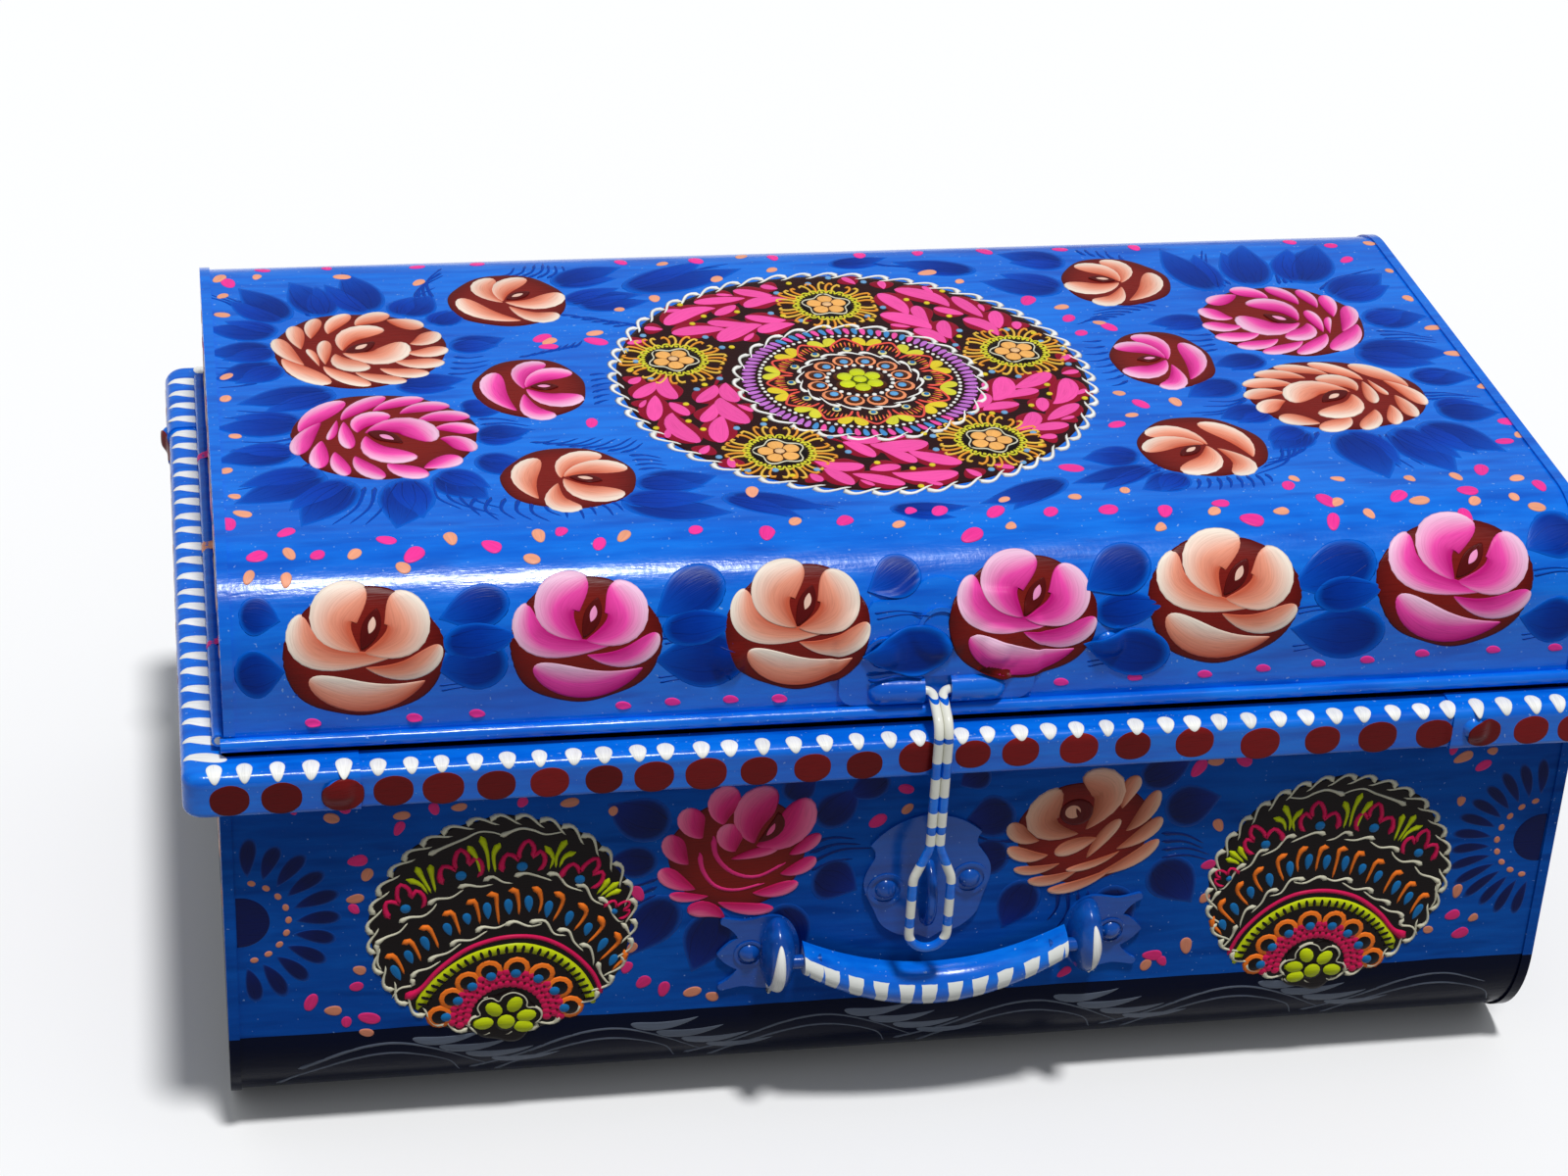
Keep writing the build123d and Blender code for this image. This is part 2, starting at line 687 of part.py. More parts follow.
# ---- hasp: one wire, bent into two pins, two legs and a loop ----
pin_y = -lid_half_depth - wire_radius - wire_play
leg_y = -half_depth - rim_reach - hasp_rim_gap - wire_radius
leg_x = hasp_x - wire_radius - leg_gap / 2
pin_start = (hasp_x - knuckle_half_length + knuckle_radius, pin_y, knuckle_height)
loop_left = hasp_x - loop_half_width
loop_bottom = staple_height - loop_below
loop_top = staple_height + loop_above
loop_side_top = (loop_left, leg_y, loop_top - loop_spread_drop)
loop_side_foot = Vector(loop_left, leg_y, loop_bottom + loop_half_width)
loop_corner = loop_half_width * sin(pi / 4)
with BuildPart() as hasp_wire:
    with BuildLine() as half_wire:
        FilletPolyline(
            pin_start,
            (leg_x, pin_y, knuckle_height),
            (leg_x, leg_y, knuckle_height - hasp_out_drop),
            (leg_x, leg_y, loop_top),
            loop_side_top,
            loop_side_foot,
            radius=[hasp_elbow, hasp_drop_bend, loop_spread_bend, loop_spread_bend],
        )
        ThreePointArc(
            loop_side_foot,
            loop_side_foot + Vector(loop_half_width - loop_corner, 0, -loop_corner),
            (hasp_x, leg_y, loop_bottom),
        )
    with BuildSketch(Plane(pin_start, z_dir=(1, 0, 0))):
        Circle(wire_radius)
    sweep(path=half_wire.wires()[0])
    mirror(about=Plane.YZ.offset(hasp_x))
hasp_wire.part.label = "hasp_wire"
export_step(hasp_wire.part, "parts/hasp_wire.step")

# ---- staple plate: a pointed oval with cusped shoulders, set a little askew ----
staple_plate_centre = Plane(
    (staple_x, -half_depth, staple_plate_height), (cos(radians(staple_tilt)), 0,
    sin(radians(staple_tilt))), (0, -1, 0)
)


def on_the_staple(shares):
    """A point of the staple plate's outline, from its shares of the width and the height."""
    height = staple_plate_above if shares[1] > 0 else staple_plate_below
    return at(shares, staple_plate_half_width, height)


upper_point = (0, staple_plate_above)
cusp_high = on_the_staple(staple_cusp_high)
cusp_low = on_the_staple(staple_cusp_low)
hip = on_the_staple(staple_hip)
chin_middle = on_the_staple(staple_chin_middle)
with BuildPart() as staple_plate:
    with BuildSketch(staple_plate_centre) as staple_outline:
        with BuildLine():
            ThreePointArc(upper_point, on_the_staple(staple_brow), cusp_high)
            ThreePointArc(cusp_high, on_the_staple(staple_cusp_middle), cusp_low)
            Spline(
                cusp_low,
                on_the_staple(staple_waist),
                on_the_staple(staple_flank),
                hip,
                tangents=[cusp_slope, hip_slope],
            )
            ThreePointArc(hip, on_the_staple(staple_chin), chin_middle)
            Polyline(chin_middle, (0, -staple_plate_below), upper_point)
        make_face()
        mirror(about=Plane.YZ)
    extrude(amount=plate)
    for place in staple_rivet_places:
        pressed_ring(place, ring_outer, ring_inner)
        rivet_hole(place)
    add(staple.part, mode=Mode.SUBTRACT)
staple_plate.part.label = "staple_plate"
export_step(staple_plate.part, "parts/staple_plate.step")

with BuildPart() as staple_rivets:
    for place in staple_rivet_places:
        rivet(place, plate + sheet)
staple_rivets.part.label = "staple_rivets"
export_step(staple_rivets.part, "parts/staple_rivets.step")


# ---- handle plates: fishtail plates, each with a pressed dome that holds the grip's pin ----
def dome(wall):
    """A dome turned about the handle's axis on the wall, taken in by a wall, flat at its ends."""
    radius = dome_radius - wall
    foot = (wall - dome_foot, radius * dome_foot_share)
    tip = (dome_nose - wall, radius * dome_tip_share)
    with BuildPart() as cap:
        with BuildSketch(Plane.XY) as profile:
            with BuildLine():
                Polyline(tip, (tip[0], 0), (foot[0], 0), foot)
                Spline(foot, (0, radius), tip, tangents=[dome_foot_slope, dome_tip_slope])
            make_face()
        revolve(profile.sketch, axis=Axis.X)
    return cap.part.moved(Location((dome_middle, 0, 0)))


def on_the_tail(shares):
    """A point of the fishtail's outline, from its shares of the length and the half width."""
    return at(shares, fishtail_length, fishtail_half_width)


def handle_plate(side):
    """One plate with its dome; side is -1 for the left and 1 for the right."""
    place = facing_front(handle_x + side * handle_rivet_spread, handle_height, 0)
    edge = dome_radius + dome_flange
    pin_room = pin_radius + pin_play
    notch = on_the_tail(tail_notch)
    waist = on_the_tail(tail_waist)
    tip = on_the_tail(tail_tip)
    shoulder = on_the_tail(tail_shoulder)
    with BuildPart() as fishtail:
        with BuildSketch(Plane.XY) as outline:
            with BuildLine():
                ThreePointArc(notch, on_the_tail(tail_inner), waist)
                ThreePointArc(waist, on_the_tail(tail_outer), tip)
                ThreePointArc(tip, on_the_tail(tail_turn), shoulder)
                Spline(
                    shoulder,
                    on_the_tail(tail_neck),
                    (dome_middle, edge),
                    tangents=[shoulder_slope, (1, 0)],
                )
                Polyline((dome_middle, edge), (dome_middle, 0), notch)
            make_face()
            mirror(about=Plane.XZ)
            with Locations((dome_middle, 0)):
                Ellipse(dome_nose + dome_flange, edge)
        extrude(amount=plate)
        add(dome(0))
        add(dome(plate), mode=Mode.SUBTRACT)
        block((-far, -far, -far), (far, far, 0), Mode.SUBTRACT)
        with BuildSketch(Plane.YZ.offset(dome_middle)) as pin_hole:
            with Locations((0, pivot_rise)):
                Circle(pin_room)
        extrude(pin_hole.sketch, amount=dome_nose, mode=Mode.SUBTRACT)
        pressed_ring(Plane.XY.offset(plate), handle_ring_outer, handle_ring_inner)
        rivet_hole(Plane.XY.offset(plate))
        if side > 0:
            mirror(about=Plane.YZ, mode=Mode.REPLACE)
    return fishtail.part.moved(place.location)


for side, name in ((-1, "handle_plate_left"), (1, "handle_plate_right")):
    dome_plate = handle_plate(side)
    dome_plate.label = name
    export_step(dome_plate, f"parts/{name}.step")

with BuildPart() as handle_rivets:
    for place in handle_rivet_places:
        rivet(place, plate + sheet)
handle_rivets.part.label = "handle_rivets"
export_step(handle_rivets.part, "parts/handle_rivets.step")

# ---- handle: a sagging pressed grip, hollow at the back, on two headed pins ----
grip_half = handle_rivet_spread - dome_middle - dome_nose - grip_end_gap
grip_back = -half_depth - grip_wall_gap
pivot_y = -half_depth - pivot_rise
pivot_inset = pivot_rise - grip_wall_gap


def grip_body(wall, half, back):
    """The grip's solid shape, taken in by a wall, from -half to half, up to a back plane."""
    with BuildPart() as body:
        for section in range(grip_sections):
            across = (2 * section / (grip_sections - 1) - 1) * half
            fullness = 1 - (across / grip_half) ** 2
            height = grip_end_height + (grip_middle_height - grip_end_height) * fullness
            depth = grip_end_depth + (grip_middle_depth - grip_end_depth) * fullness
            centre = (handle_x + across, back, handle_height - grip_sag * fullness)
            with BuildSketch(Plane(centre, x_dir=(0, -1, 0), z_dir=(1, 0, 0))):
                Ellipse(depth - wall, height / 2 - wall)
                Rectangle(depth, height, align=(Align.MAX, Align.CENTER), mode=Mode.SUBTRACT)
        loft()
    return body.part


with BuildPart() as handle_grip:
    add(grip_body(0, grip_half, grip_back))
    add(grip_body(grip_wall, grip_half - grip_solid_end, grip_back), mode=Mode.SUBTRACT)
    for side in (-1, 1):
        end = Plane((handle_x + side * grip_half, pivot_y, handle_height), z_dir=(side, 0, 0))
        with BuildSketch(end) as pin_seat:
            Circle(pin_radius)
        extrude(pin_seat.sketch, amount=-pin_hold, mode=Mode.SUBTRACT)
handle_grip.part.label = "handle_grip"
export_step(handle_grip.part, "parts/handle_grip.step")

pin_reach = grip_end_gap + dome_nose * pin_reach_share
with BuildPart() as handle_pins:
    for side in (-1, 1):
        end = Plane((handle_x + side * grip_half, pivot_y, handle_height), z_dir=(side, 0, 0))
        with BuildSketch(end) as pin_round:
            Circle(pin_radius)
        extrude(pin_round.sketch, amount=pin_reach)
        extrude(pin_round.sketch, amount=-pin_hold)
        with BuildSketch(end.offset(pin_reach)) as pin_head:
            Circle(pin_head_radius)
        extrude(pin_head.sketch, amount=pin_head_length)
handle_pins.part.label = "handle_pins"
export_step(handle_pins.part, "parts/handle_pins.step")


# ---- hinges at the back: a leaf on the rim, a cranked strap on the lid and a pin ----
third = (hinge_width - 2 * hinge_gap) / 3
swing_room = hinge_knuckle + hinge_gap


def hinge_barrel(start, length):
    """One hinge knuckle round the pin's axis, from X = start."""
    with BuildSketch(Plane((start, hinge_y, hinge_z), z_dir=(1, 0, 0))) as ring:
        Circle(hinge_knuckle)
    extrude(ring.sketch, amount=length)


def hinge_bore(start, length):
    """The hole for the hinge's pin."""
    with BuildSketch(Plane((start, hinge_y, hinge_z), z_dir=(1, 0, 0))) as ring:
        Circle(hinge_pin_radius + hinge_play)
    extrude(ring.sketch, amount=length, mode=Mode.SUBTRACT)


def rim_leaf(middle):
    """The leaf on the rim's back, with the two outer knuckles."""
    left = middle - hinge_width / 2
    right = middle + hinge_width / 2
    with BuildPart() as leaf:
        block((left, back_rim_face, leaf_low), (right, back_rim_face + hinge_leaf, hinge_z))
        fillet(leaf.edges().filter_by(Axis.Y).group_by(Axis.Z)[0], leaf_corner)
        for start in (left, right - third):
            hinge_barrel(start, third)
        hinge_bore(left, hinge_width)
        block(
            (left + third, back_rim_face, hinge_z - swing_room),
            (right - third, hinge_y + swing_room, hinge_z + swing_room),
            Mode.SUBTRACT,
        )
        for place in leaf_rivet_places:
            rivet_hole(place)
    return leaf.part


def lid_leaf(middle):
    """The strap on the lid's back, cranked over the rim to the middle knuckle."""
    left = middle - hinge_width / 2
    right = middle + hinge_width / 2
    strap_top = strap_under + hinge_leaf
    with BuildPart() as leaf:
        block((left, lid_half_depth, strap_under), (right, hinge_y, strap_top))
        block(
            (left, lid_half_depth, strap_under),
            (right, lid_half_depth + hinge_leaf, strap_under + lid_leaf_height),
        )
        fillet(leaf.edges().filter_by(Axis.Y).group_by(Axis.Z)[-1], leaf_corner)
        hinge_barrel(left + third + hinge_gap, third)
        hinge_bore(left, hinge_width)
        for start in (left, right - third - hinge_gap):
            block(
                (start, hinge_y - swing_room, hinge_z - swing_room),
                (start + third + hinge_gap, hinge_y + swing_room, hinge_z + swing_room),
                Mode.SUBTRACT,
            )
        for place in lid_leaf_rivet_places:
            rivet_hole(place)
    return leaf.part


def hinge_pin(middle):
    """The hinge's pin, headed over at both ends."""
    left = middle - hinge_width / 2
    with BuildPart() as pin:
        with BuildSketch(Plane((left, hinge_y, hinge_z), z_dir=(1, 0, 0))) as shank:
            Circle(hinge_pin_radius)
        extrude(shank.sketch, amount=hinge_width)
        for start, run in ((left, -hinge_head_length), (left + hinge_width, hinge_head_length)):
            with BuildSketch(Plane((start, hinge_y, hinge_z), z_dir=(1, 0, 0))) as head:
                Circle(hinge_head_radius)
            extrude(head.sketch, amount=run)
    return pin.part


for middle, name in ((-hinge_spread, "left"), (hinge_spread, "right")):
    hinge_pieces = {
        f"hinge_{name}_rim_leaf": rim_leaf(middle),
        f"hinge_{name}_lid_leaf": lid_leaf(middle),
        f"hinge_{name}_pin": hinge_pin(middle),
    }
    for piece_name, piece in hinge_pieces.items():
        piece.label = piece_name
        export_step(piece, f"parts/{piece_name}.step")

with BuildPart() as hinge_rim_rivets:
    for place in leaf_rivet_places:
        rivet(place, hinge_leaf + sheet)
hinge_rim_rivets.part.label = "hinge_rim_rivets"
export_step(hinge_rim_rivets.part, "parts/hinge_rim_rivets.step")

with BuildPart() as hinge_lid_rivets:
    for place in lid_leaf_rivet_places:
        rivet(place, hinge_leaf + sheet)
hinge_lid_rivets.part.label = "hinge_lid_rivets"
export_step(hinge_lid_rivets.part, "parts/hinge_lid_rivets.step")
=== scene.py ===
import math
import random

import bpy
import numpy as np
from mathutils import Matrix, Vector
from mathutils.bvhtree import BVHTree


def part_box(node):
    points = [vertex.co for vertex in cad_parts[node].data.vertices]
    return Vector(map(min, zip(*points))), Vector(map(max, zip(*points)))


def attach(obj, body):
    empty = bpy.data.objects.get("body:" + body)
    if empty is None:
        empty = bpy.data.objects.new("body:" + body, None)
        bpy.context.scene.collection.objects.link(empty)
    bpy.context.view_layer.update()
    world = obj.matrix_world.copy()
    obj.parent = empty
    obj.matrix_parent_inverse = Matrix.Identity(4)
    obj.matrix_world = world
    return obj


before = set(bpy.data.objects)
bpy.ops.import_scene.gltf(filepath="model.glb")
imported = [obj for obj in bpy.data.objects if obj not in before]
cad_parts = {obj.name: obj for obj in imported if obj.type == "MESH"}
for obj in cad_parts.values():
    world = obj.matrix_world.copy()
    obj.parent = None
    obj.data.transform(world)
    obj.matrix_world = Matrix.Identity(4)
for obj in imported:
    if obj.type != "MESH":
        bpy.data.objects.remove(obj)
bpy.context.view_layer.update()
MM = 0.001
random.seed(41)


# ---- the sheets that carry the paint, unrolled flat, in millimetres ----
LID_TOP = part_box("lid_wrap")[1][2] / MM
LID_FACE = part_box("lid_wrap")[1][1] / MM
LID_BEND = 33.8
LID_FLAT = LID_FACE - LID_BEND
LID_SEAM = 1.8
LID_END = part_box("lid_right_end")[1][0] / MM - LID_SEAM
BODY_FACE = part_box("body_wrap")[1][1] / MM
BODY_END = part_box("body_right_end")[1][0] / MM
BODY_BEND = 43
RIM_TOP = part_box("rim_front")[1][2] / MM
RIM_FACE = -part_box("rim_front")[0][1] / MM
RIM_END = BODY_END + RIM_FACE - BODY_FACE
RIM_FOLD = 3.0
LID_END_MIDDLE = (RIM_TOP + LID_TOP) / 2


def turned(places, outwards, quarters):
    """Turn a sheet that was laid out for the front round the trunk, a quarter at a time."""
    turn = np.array(Matrix.Rotation(quarters * math.pi / 2, 3, "Z"))
    return places @ turn.T, outwards @ turn.T


def lid_sheet(across, up):
    """The lid's wrap. On its flat top, up is Y; past each bend it goes on down the wall."""
    side = np.sign(up)
    over = np.abs(up) - LID_FLAT
    angle = np.clip(over / LID_BEND, 0, math.pi / 2)
    down = np.maximum(over - LID_BEND * math.pi / 2, 0)
    y = np.where(over > 0, side * (LID_FLAT + LID_BEND * np.sin(angle)), up)
    z = LID_TOP - LID_BEND * (1 - np.cos(angle)) - down
    zero = np.zeros_like(across)
    return np.stack([across, y, z], 1), np.stack([zero, side * np.sin(angle), np.cos(angle)], 1)


def body_sheet(quarters):
    """One wall of the body; up is the height, and it goes on round the bend of the bottom."""
    def sheet(across, up):
        wall = BODY_END if quarters % 2 else BODY_FACE
        bend = 0 if quarters % 2 else BODY_BEND
        angle = np.clip((bend - up) / max(bend, 1), 0, math.pi / 2)
        y = -wall + bend * (1 - np.cos(angle))
        z = np.where(up < bend, bend * (1 - np.sin(angle)), up)
        zero = np.zeros_like(across)
        places = np.stack([across, y, z], 1)
        outwards = np.stack([zero, -np.cos(angle), -np.sin(angle)], 1)
        return turned(places, outwards, quarters)
    return sheet


def rim_sheet(quarters):
    """The rim on one side; up is 0 on its fold, positive on its top, negative on its face."""
    def sheet(across, up):
        wall = RIM_END if quarters % 2 else RIM_FACE
        half = RIM_FOLD * math.pi / 4
        angle = np.clip(up / RIM_FOLD, -math.pi / 4, math.pi / 4) + math.pi / 4
        y = -wall + RIM_FOLD * (1 - np.cos(angle)) + np.maximum(up - half, 0)
        z = RIM_TOP - RIM_FOLD * (1 - np.sin(angle)) + np.minimum(up + half, 0)
        zero = np.zeros_like(across)
        places = np.stack([across, y, z], 1)
        outwards = np.stack([zero, -np.cos(angle), np.sin(angle)], 1)
        return turned(places, outwards, quarters)
    return sheet


def lid_end_sheet(quarters):
    """One end of the lid; up is the height."""
    def sheet(across, up):
        zero = np.zeros_like(across)
        places = np.stack([across, zero - LID_END, up], 1)
        return turned(places, np.stack([zero, zero - 1, zero], 1), quarters)
    return sheet


# ---- paints, as the 0-255 values that a colour card gives ----
def paint(red, green, blue):
    """A colour-card value as linear light."""
    card = np.array([red, green, blue]) / 255
    linear = np.where(card > 0.04045, ((card + 0.055) / 1.055) ** 2.4, card / 12.92)
    return np.array([*linear, 1.0])


PINK = (paint(205, 28, 130), paint(255, 82, 182), paint(255, 206, 236))
PEACH = (paint(214, 100, 72), paint(248, 166, 138), paint(255, 240, 224))
DULL_PINK = (paint(190, 20, 84), paint(232, 52, 126), paint(255, 132, 170))
DULL_PEACH = (paint(176, 92, 66), paint(224, 142, 112), paint(246, 196, 166))
MAROON = paint(128, 30, 24)
DARK_MAROON = paint(92, 18, 18)
LEAF = (paint(2, 46, 146), paint(2, 60, 176), paint(4, 84, 204))
NAVY = (paint(4, 18, 78), paint(6, 28, 104), paint(10, 40, 130))
BLACK = paint(18, 10, 10)
WHITE = paint(255, 255, 250)
CREAM = paint(226, 222, 196)
LIME = paint(206, 222, 24)
YELLOW = paint(238, 214, 52)
ORANGE = paint(255, 128, 40)
GOLD = paint(250, 168, 62)
CORAL = paint(250, 96, 84)
MAGENTA = paint(226, 30, 92)
HOT_PINK = paint(255, 88, 176)
SKY = paint(74, 150, 214)
LACE = paint(226, 222, 62)
HEART_LIME = paint(216, 228, 40)
SCALLOP = paint(255, 158, 108)
ORANGE_PETAL = paint(255, 188, 104)
DROP_BLUE = paint(28, 118, 186)
LILAC = paint(204, 120, 216)
DOT_PINK = paint(255, 62, 164)
DOT_PEACH = paint(252, 172, 138)
# The feathers' whitish paint, greyed with painted shade for the downward-facing bend.
FEATHER = paint(108, 118, 136)
RIM_RED = paint(120, 25, 26)
CRIMSON = paint(150, 12, 44)
MANDALA_GROUND = paint(44, 14, 16)
BROWN = paint(84, 40, 20)
SUN_RAY = paint(250, 204, 84)
SUN_HEART = paint(255, 206, 150)
SPRAY_DOT = paint(122, 178, 226)
STRAW = paint(232, 226, 150)
BEAD_BLUE = paint(104, 176, 234)
BEAD_WINE = paint(84, 8, 26)
OLIVE = paint(84, 96, 14)
DUST = paint(170, 206, 240)
GRIP_WHITE = paint(240, 242, 236)
WIRE_WHITE = paint(240, 240, 228)
LID_BLUES = (paint(0, 76, 190), paint(2, 102, 220), paint(10, 124, 240))
BODY_BLUES = (paint(5, 50, 128), paint(10, 74, 166), paint(16, 90, 186))
LID_GROUND = paint(2, 98, 214)
BODY_GROUND = paint(10, 72, 162)
# Dark navy of the body's bottom bend, below 43 mm: partly the band's own darker paint, partly
# painted shade where the bend turns downwards.
SHADED_BAND_BLUE = paint(4, 12, 40)
BARE = (paint(150, 152, 154), paint(196, 198, 200))


# ---- one dab and one trail of paint, from which every stroke is copied ----
# How deep a stroke's edge, its underside and the foot of a trail are sunk into the metal.
EDGE = -0.05
UNDERSIDE = -0.2
TRAIL_FOOT = -0.04


def blank_arrays(made):
    """Corner places, and the corners of every face, of a blank that is then taken away."""
    mesh = made.data
    places = np.array([corner.co[:] for corner in mesh.vertices])
    faces = [list(face.vertices) for face in mesh.polygons]
    bpy.data.objects.remove(made)
    return places, faces


def round_skin(sides, rings, depth):
    """Add one round skin in edit mode; all but its edge lies at a depth."""
    bpy.ops.mesh.primitive_circle_add(vertices=sides, radius=1, fill_type="NGON")
    reach = math.cos(math.pi / sides)
    for outer, inner in zip([1, *rings], rings):
        bpy.ops.mesh.inset(thickness=(outer - inner) * reach, depth=depth if outer == 1 else 0)
    bpy.ops.mesh.poke()


def dab_blank(sides, rings, under=(0.65, 0.3)):
    """A round dab of paint, one unit in radius, closed underneath; rings are the inner radii of
    its top, and under those of its underside, which bends with the sheet."""
    bpy.ops.object.select_all(action="DESELECT")
    bpy.ops.mesh.primitive_plane_add()
    made = bpy.context.object
    bpy.ops.object.mode_set(mode="EDIT")
    bpy.ops.mesh.delete(type="VERT")
    round_skin(sides, rings, 0)
    bpy.ops.mesh.select_all(action="DESELECT")
    round_skin(sides, under, UNDERSIDE)
    bpy.ops.mesh.select_all(action="SELECT")
    bpy.ops.mesh.remove_doubles(threshold=0.001)
    bpy.ops.object.mode_set(mode="OBJECT")
    for corner in made.data.vertices:
        if corner.co.z > -0.001:
            corner.co.z = 1 - corner.co.xy.length ** 4
    bpy.ops.object.mode_set(mode="EDIT")
    bpy.ops.mesh.select_all(action="SELECT")
    bpy.ops.mesh.normals_make_consistent(inside=False)
    bpy.ops.object.mode_set(mode="OBJECT")
    return blank_arrays(made)


def trail_blank(rows):
    """A trail of paint, one unit long, in a number of rows, three-sided with its ridge on top."""
    bpy.ops.object.select_all(action="DESELECT")
    bpy.ops.mesh.primitive_cylinder_add(vertices=3, radius=1, depth=1,
                                        rotation=(math.pi / 2, 0, math.pi / 2))
    made = bpy.context.object
    bpy.ops.object.transform_apply(rotation=True)
    bpy.ops.object.mode_set(mode="EDIT")
    bpy.ops.mesh.select_mode(type="EDGE")
    bpy.ops.mesh.select_all(action="DESELECT")
    bpy.ops.object.mode_set(mode="OBJECT")
    for edge in made.data.edges:
        ends = [made.data.vertices[corner].co.x for corner in edge.vertices]
        edge.select = abs(ends[0] - ends[1]) > 0.5
    bpy.ops.object.mode_set(mode="EDIT")
    bpy.ops.mesh.subdivide(number_cuts=rows - 2)
    bpy.ops.mesh.select_mode(type="VERT")
    bpy.ops.mesh.select_all(action="SELECT")
    bpy.ops.mesh.normals_make_consistent(inside=False)
    bpy.ops.object.mode_set(mode="OBJECT")
    return blank_arrays(made)


DAB_BLANKS = (dab_blank(24, [0.93, 0.78, 0.6, 0.4, 0.2]),
              dab_blank(40, [0.95, 0.86, 0.76, 0.66, 0.56, 0.46, 0.36, 0.26, 0.16, 0.08]),
              dab_blank(88, [0.97 - 0.04 * ring for ring in range(24)]))
DISC_UNDER = (0.8, 0.6, 0.4, 0.2)
DISC_BLANKS = (dab_blank(64, [*[0.97 - 0.09 * ring for ring in range(10)], 0.08], DISC_UNDER),
               dab_blank(120, [0.985 - 0.03 * ring for ring in range(32)], DISC_UNDER))
DOT_BLANK = dab_blank(12, [0.8], (0.5,))
TRAIL_BLANKS = {rows: trail_blank(rows) for rows in (6, 10, 16, 28, 60)}


def bowed(root, tip, bow):
    """A line from root to tip, whose middle is pushed to one side."""
    middle = ((root[0] + tip[0]) / 2 - bow * (tip[1] - root[1]),
              (root[1] + tip[1]) / 2 + bow * (tip[0] - root[0]))
    return root, middle, tip


def bezier(line, share):
    """Places and directions along a curve through two ends, drawn to a middle point."""
    if len(line) == 2:
        line = bowed(*line, 0)
    a, b, c = (np.array(point, float) for point in line)
    t = share[:, None]
    places = (1 - t) ** 2 * a + 2 * t * (1 - t) * b + t ** 2 * c
    ways = 2 * (1 - t) * (b - a) + 2 * t * (c - b)
    return places, ways / np.maximum(np.linalg.norm(ways, axis=1, keepdims=True), 1e-6)


def smooth_line(points, share):
    """A smooth line through the points, as evenly spaced places, and its length."""
    points = np.array(points, float)
    padded = np.vstack([2 * points[0] - points[1], points, 2 * points[-1] - points[-2]])
    fine = []
    for step in range(len(points) - 1):
        p0, p1, p2, p3 = padded[step:step + 4]
        for t in np.linspace(0, 1, 13)[:-1]:
            fine.append(0.5 * (2 * p1 + (p2 - p0) * t + (2 * p0 - 5 * p1 + 4 * p2 - p3) * t ** 2
                               + (3 * p1 - p0 - 3 * p2 + p3) * t ** 3))
    fine.append(points[-1])
    fine = np.array(fine)
    along = np.concatenate([[0], np.cumsum(np.linalg.norm(np.diff(fine, axis=0), axis=1))])
    want = along[-1] * share
    return np.stack([np.interp(want, along, fine[:, axis]) for axis in (0, 1)], 1), along[-1]


def petal_outline(share, head=0.66, power=0.8):
    """Half width of a petal along its length: a thin tail and a round head."""
    body = np.sin(np.clip(share / head, 0, 1) * math.pi / 2) ** power
    cap = np.sqrt(np.clip(1 - ((share - head) / (1 - head)) ** 2, 0, 1))
    return np.where(share < head, body, cap)


def petal(head, power):
    """The outline of a petal whose head starts sooner or later, and is plumper or slimmer."""
    return lambda share: petal_outline(share, head, power)


def pointed_outline(share):
    """Half width of a stroke that is pointed at both ends."""
    return np.sin(np.clip(share, 0, 1) * math.pi) ** 0.8


def round_outline(share):
    """Half width of an oval."""
    return np.sqrt(np.clip(1 - (2 * share - 1) ** 2, 0, 1))


def stroke_level(blank, base, rise):
    """How far each corner of a stroke stands off its sheet: its edge and underside are sunk in."""
    height = blank[:, 2]
    return np.select([height < -0.001, height < 0.01], [UNDERSIDE, EDGE], base + rise * height)


def sideways(ways):
    """Directions turned a quarter to the left."""
    return np.stack([-ways[:, 1], ways[:, 0]], 1)


def swung(x, y, degrees):
    """A place turned about the middle."""
    turn = math.radians(degrees)
    return x * math.cos(turn) - y * math.sin(turn), x * math.sin(turn) + y * math.cos(turn)


def polar(centre, radius, degrees):
    """A place at a distance from a centre, in a direction."""
    angle = math.radians(degrees)
    return (centre[0] + radius * math.cos(angle), centre[1] + radius * math.sin(angle))


def about(centre, at, *steps):
    """Places about a centre, each at a distance and turned from the direction at."""
    return [polar(centre, far, at + turn) for far, turn in steps]


def varied(low, high):
    """A factor that makes a colour a little darker or paler."""
    return np.array([*[random.uniform(low, high)] * 3, 1])


def grain_start():
    """Where in the brush's grain a stroke begins."""
    return random.uniform(0, 40)


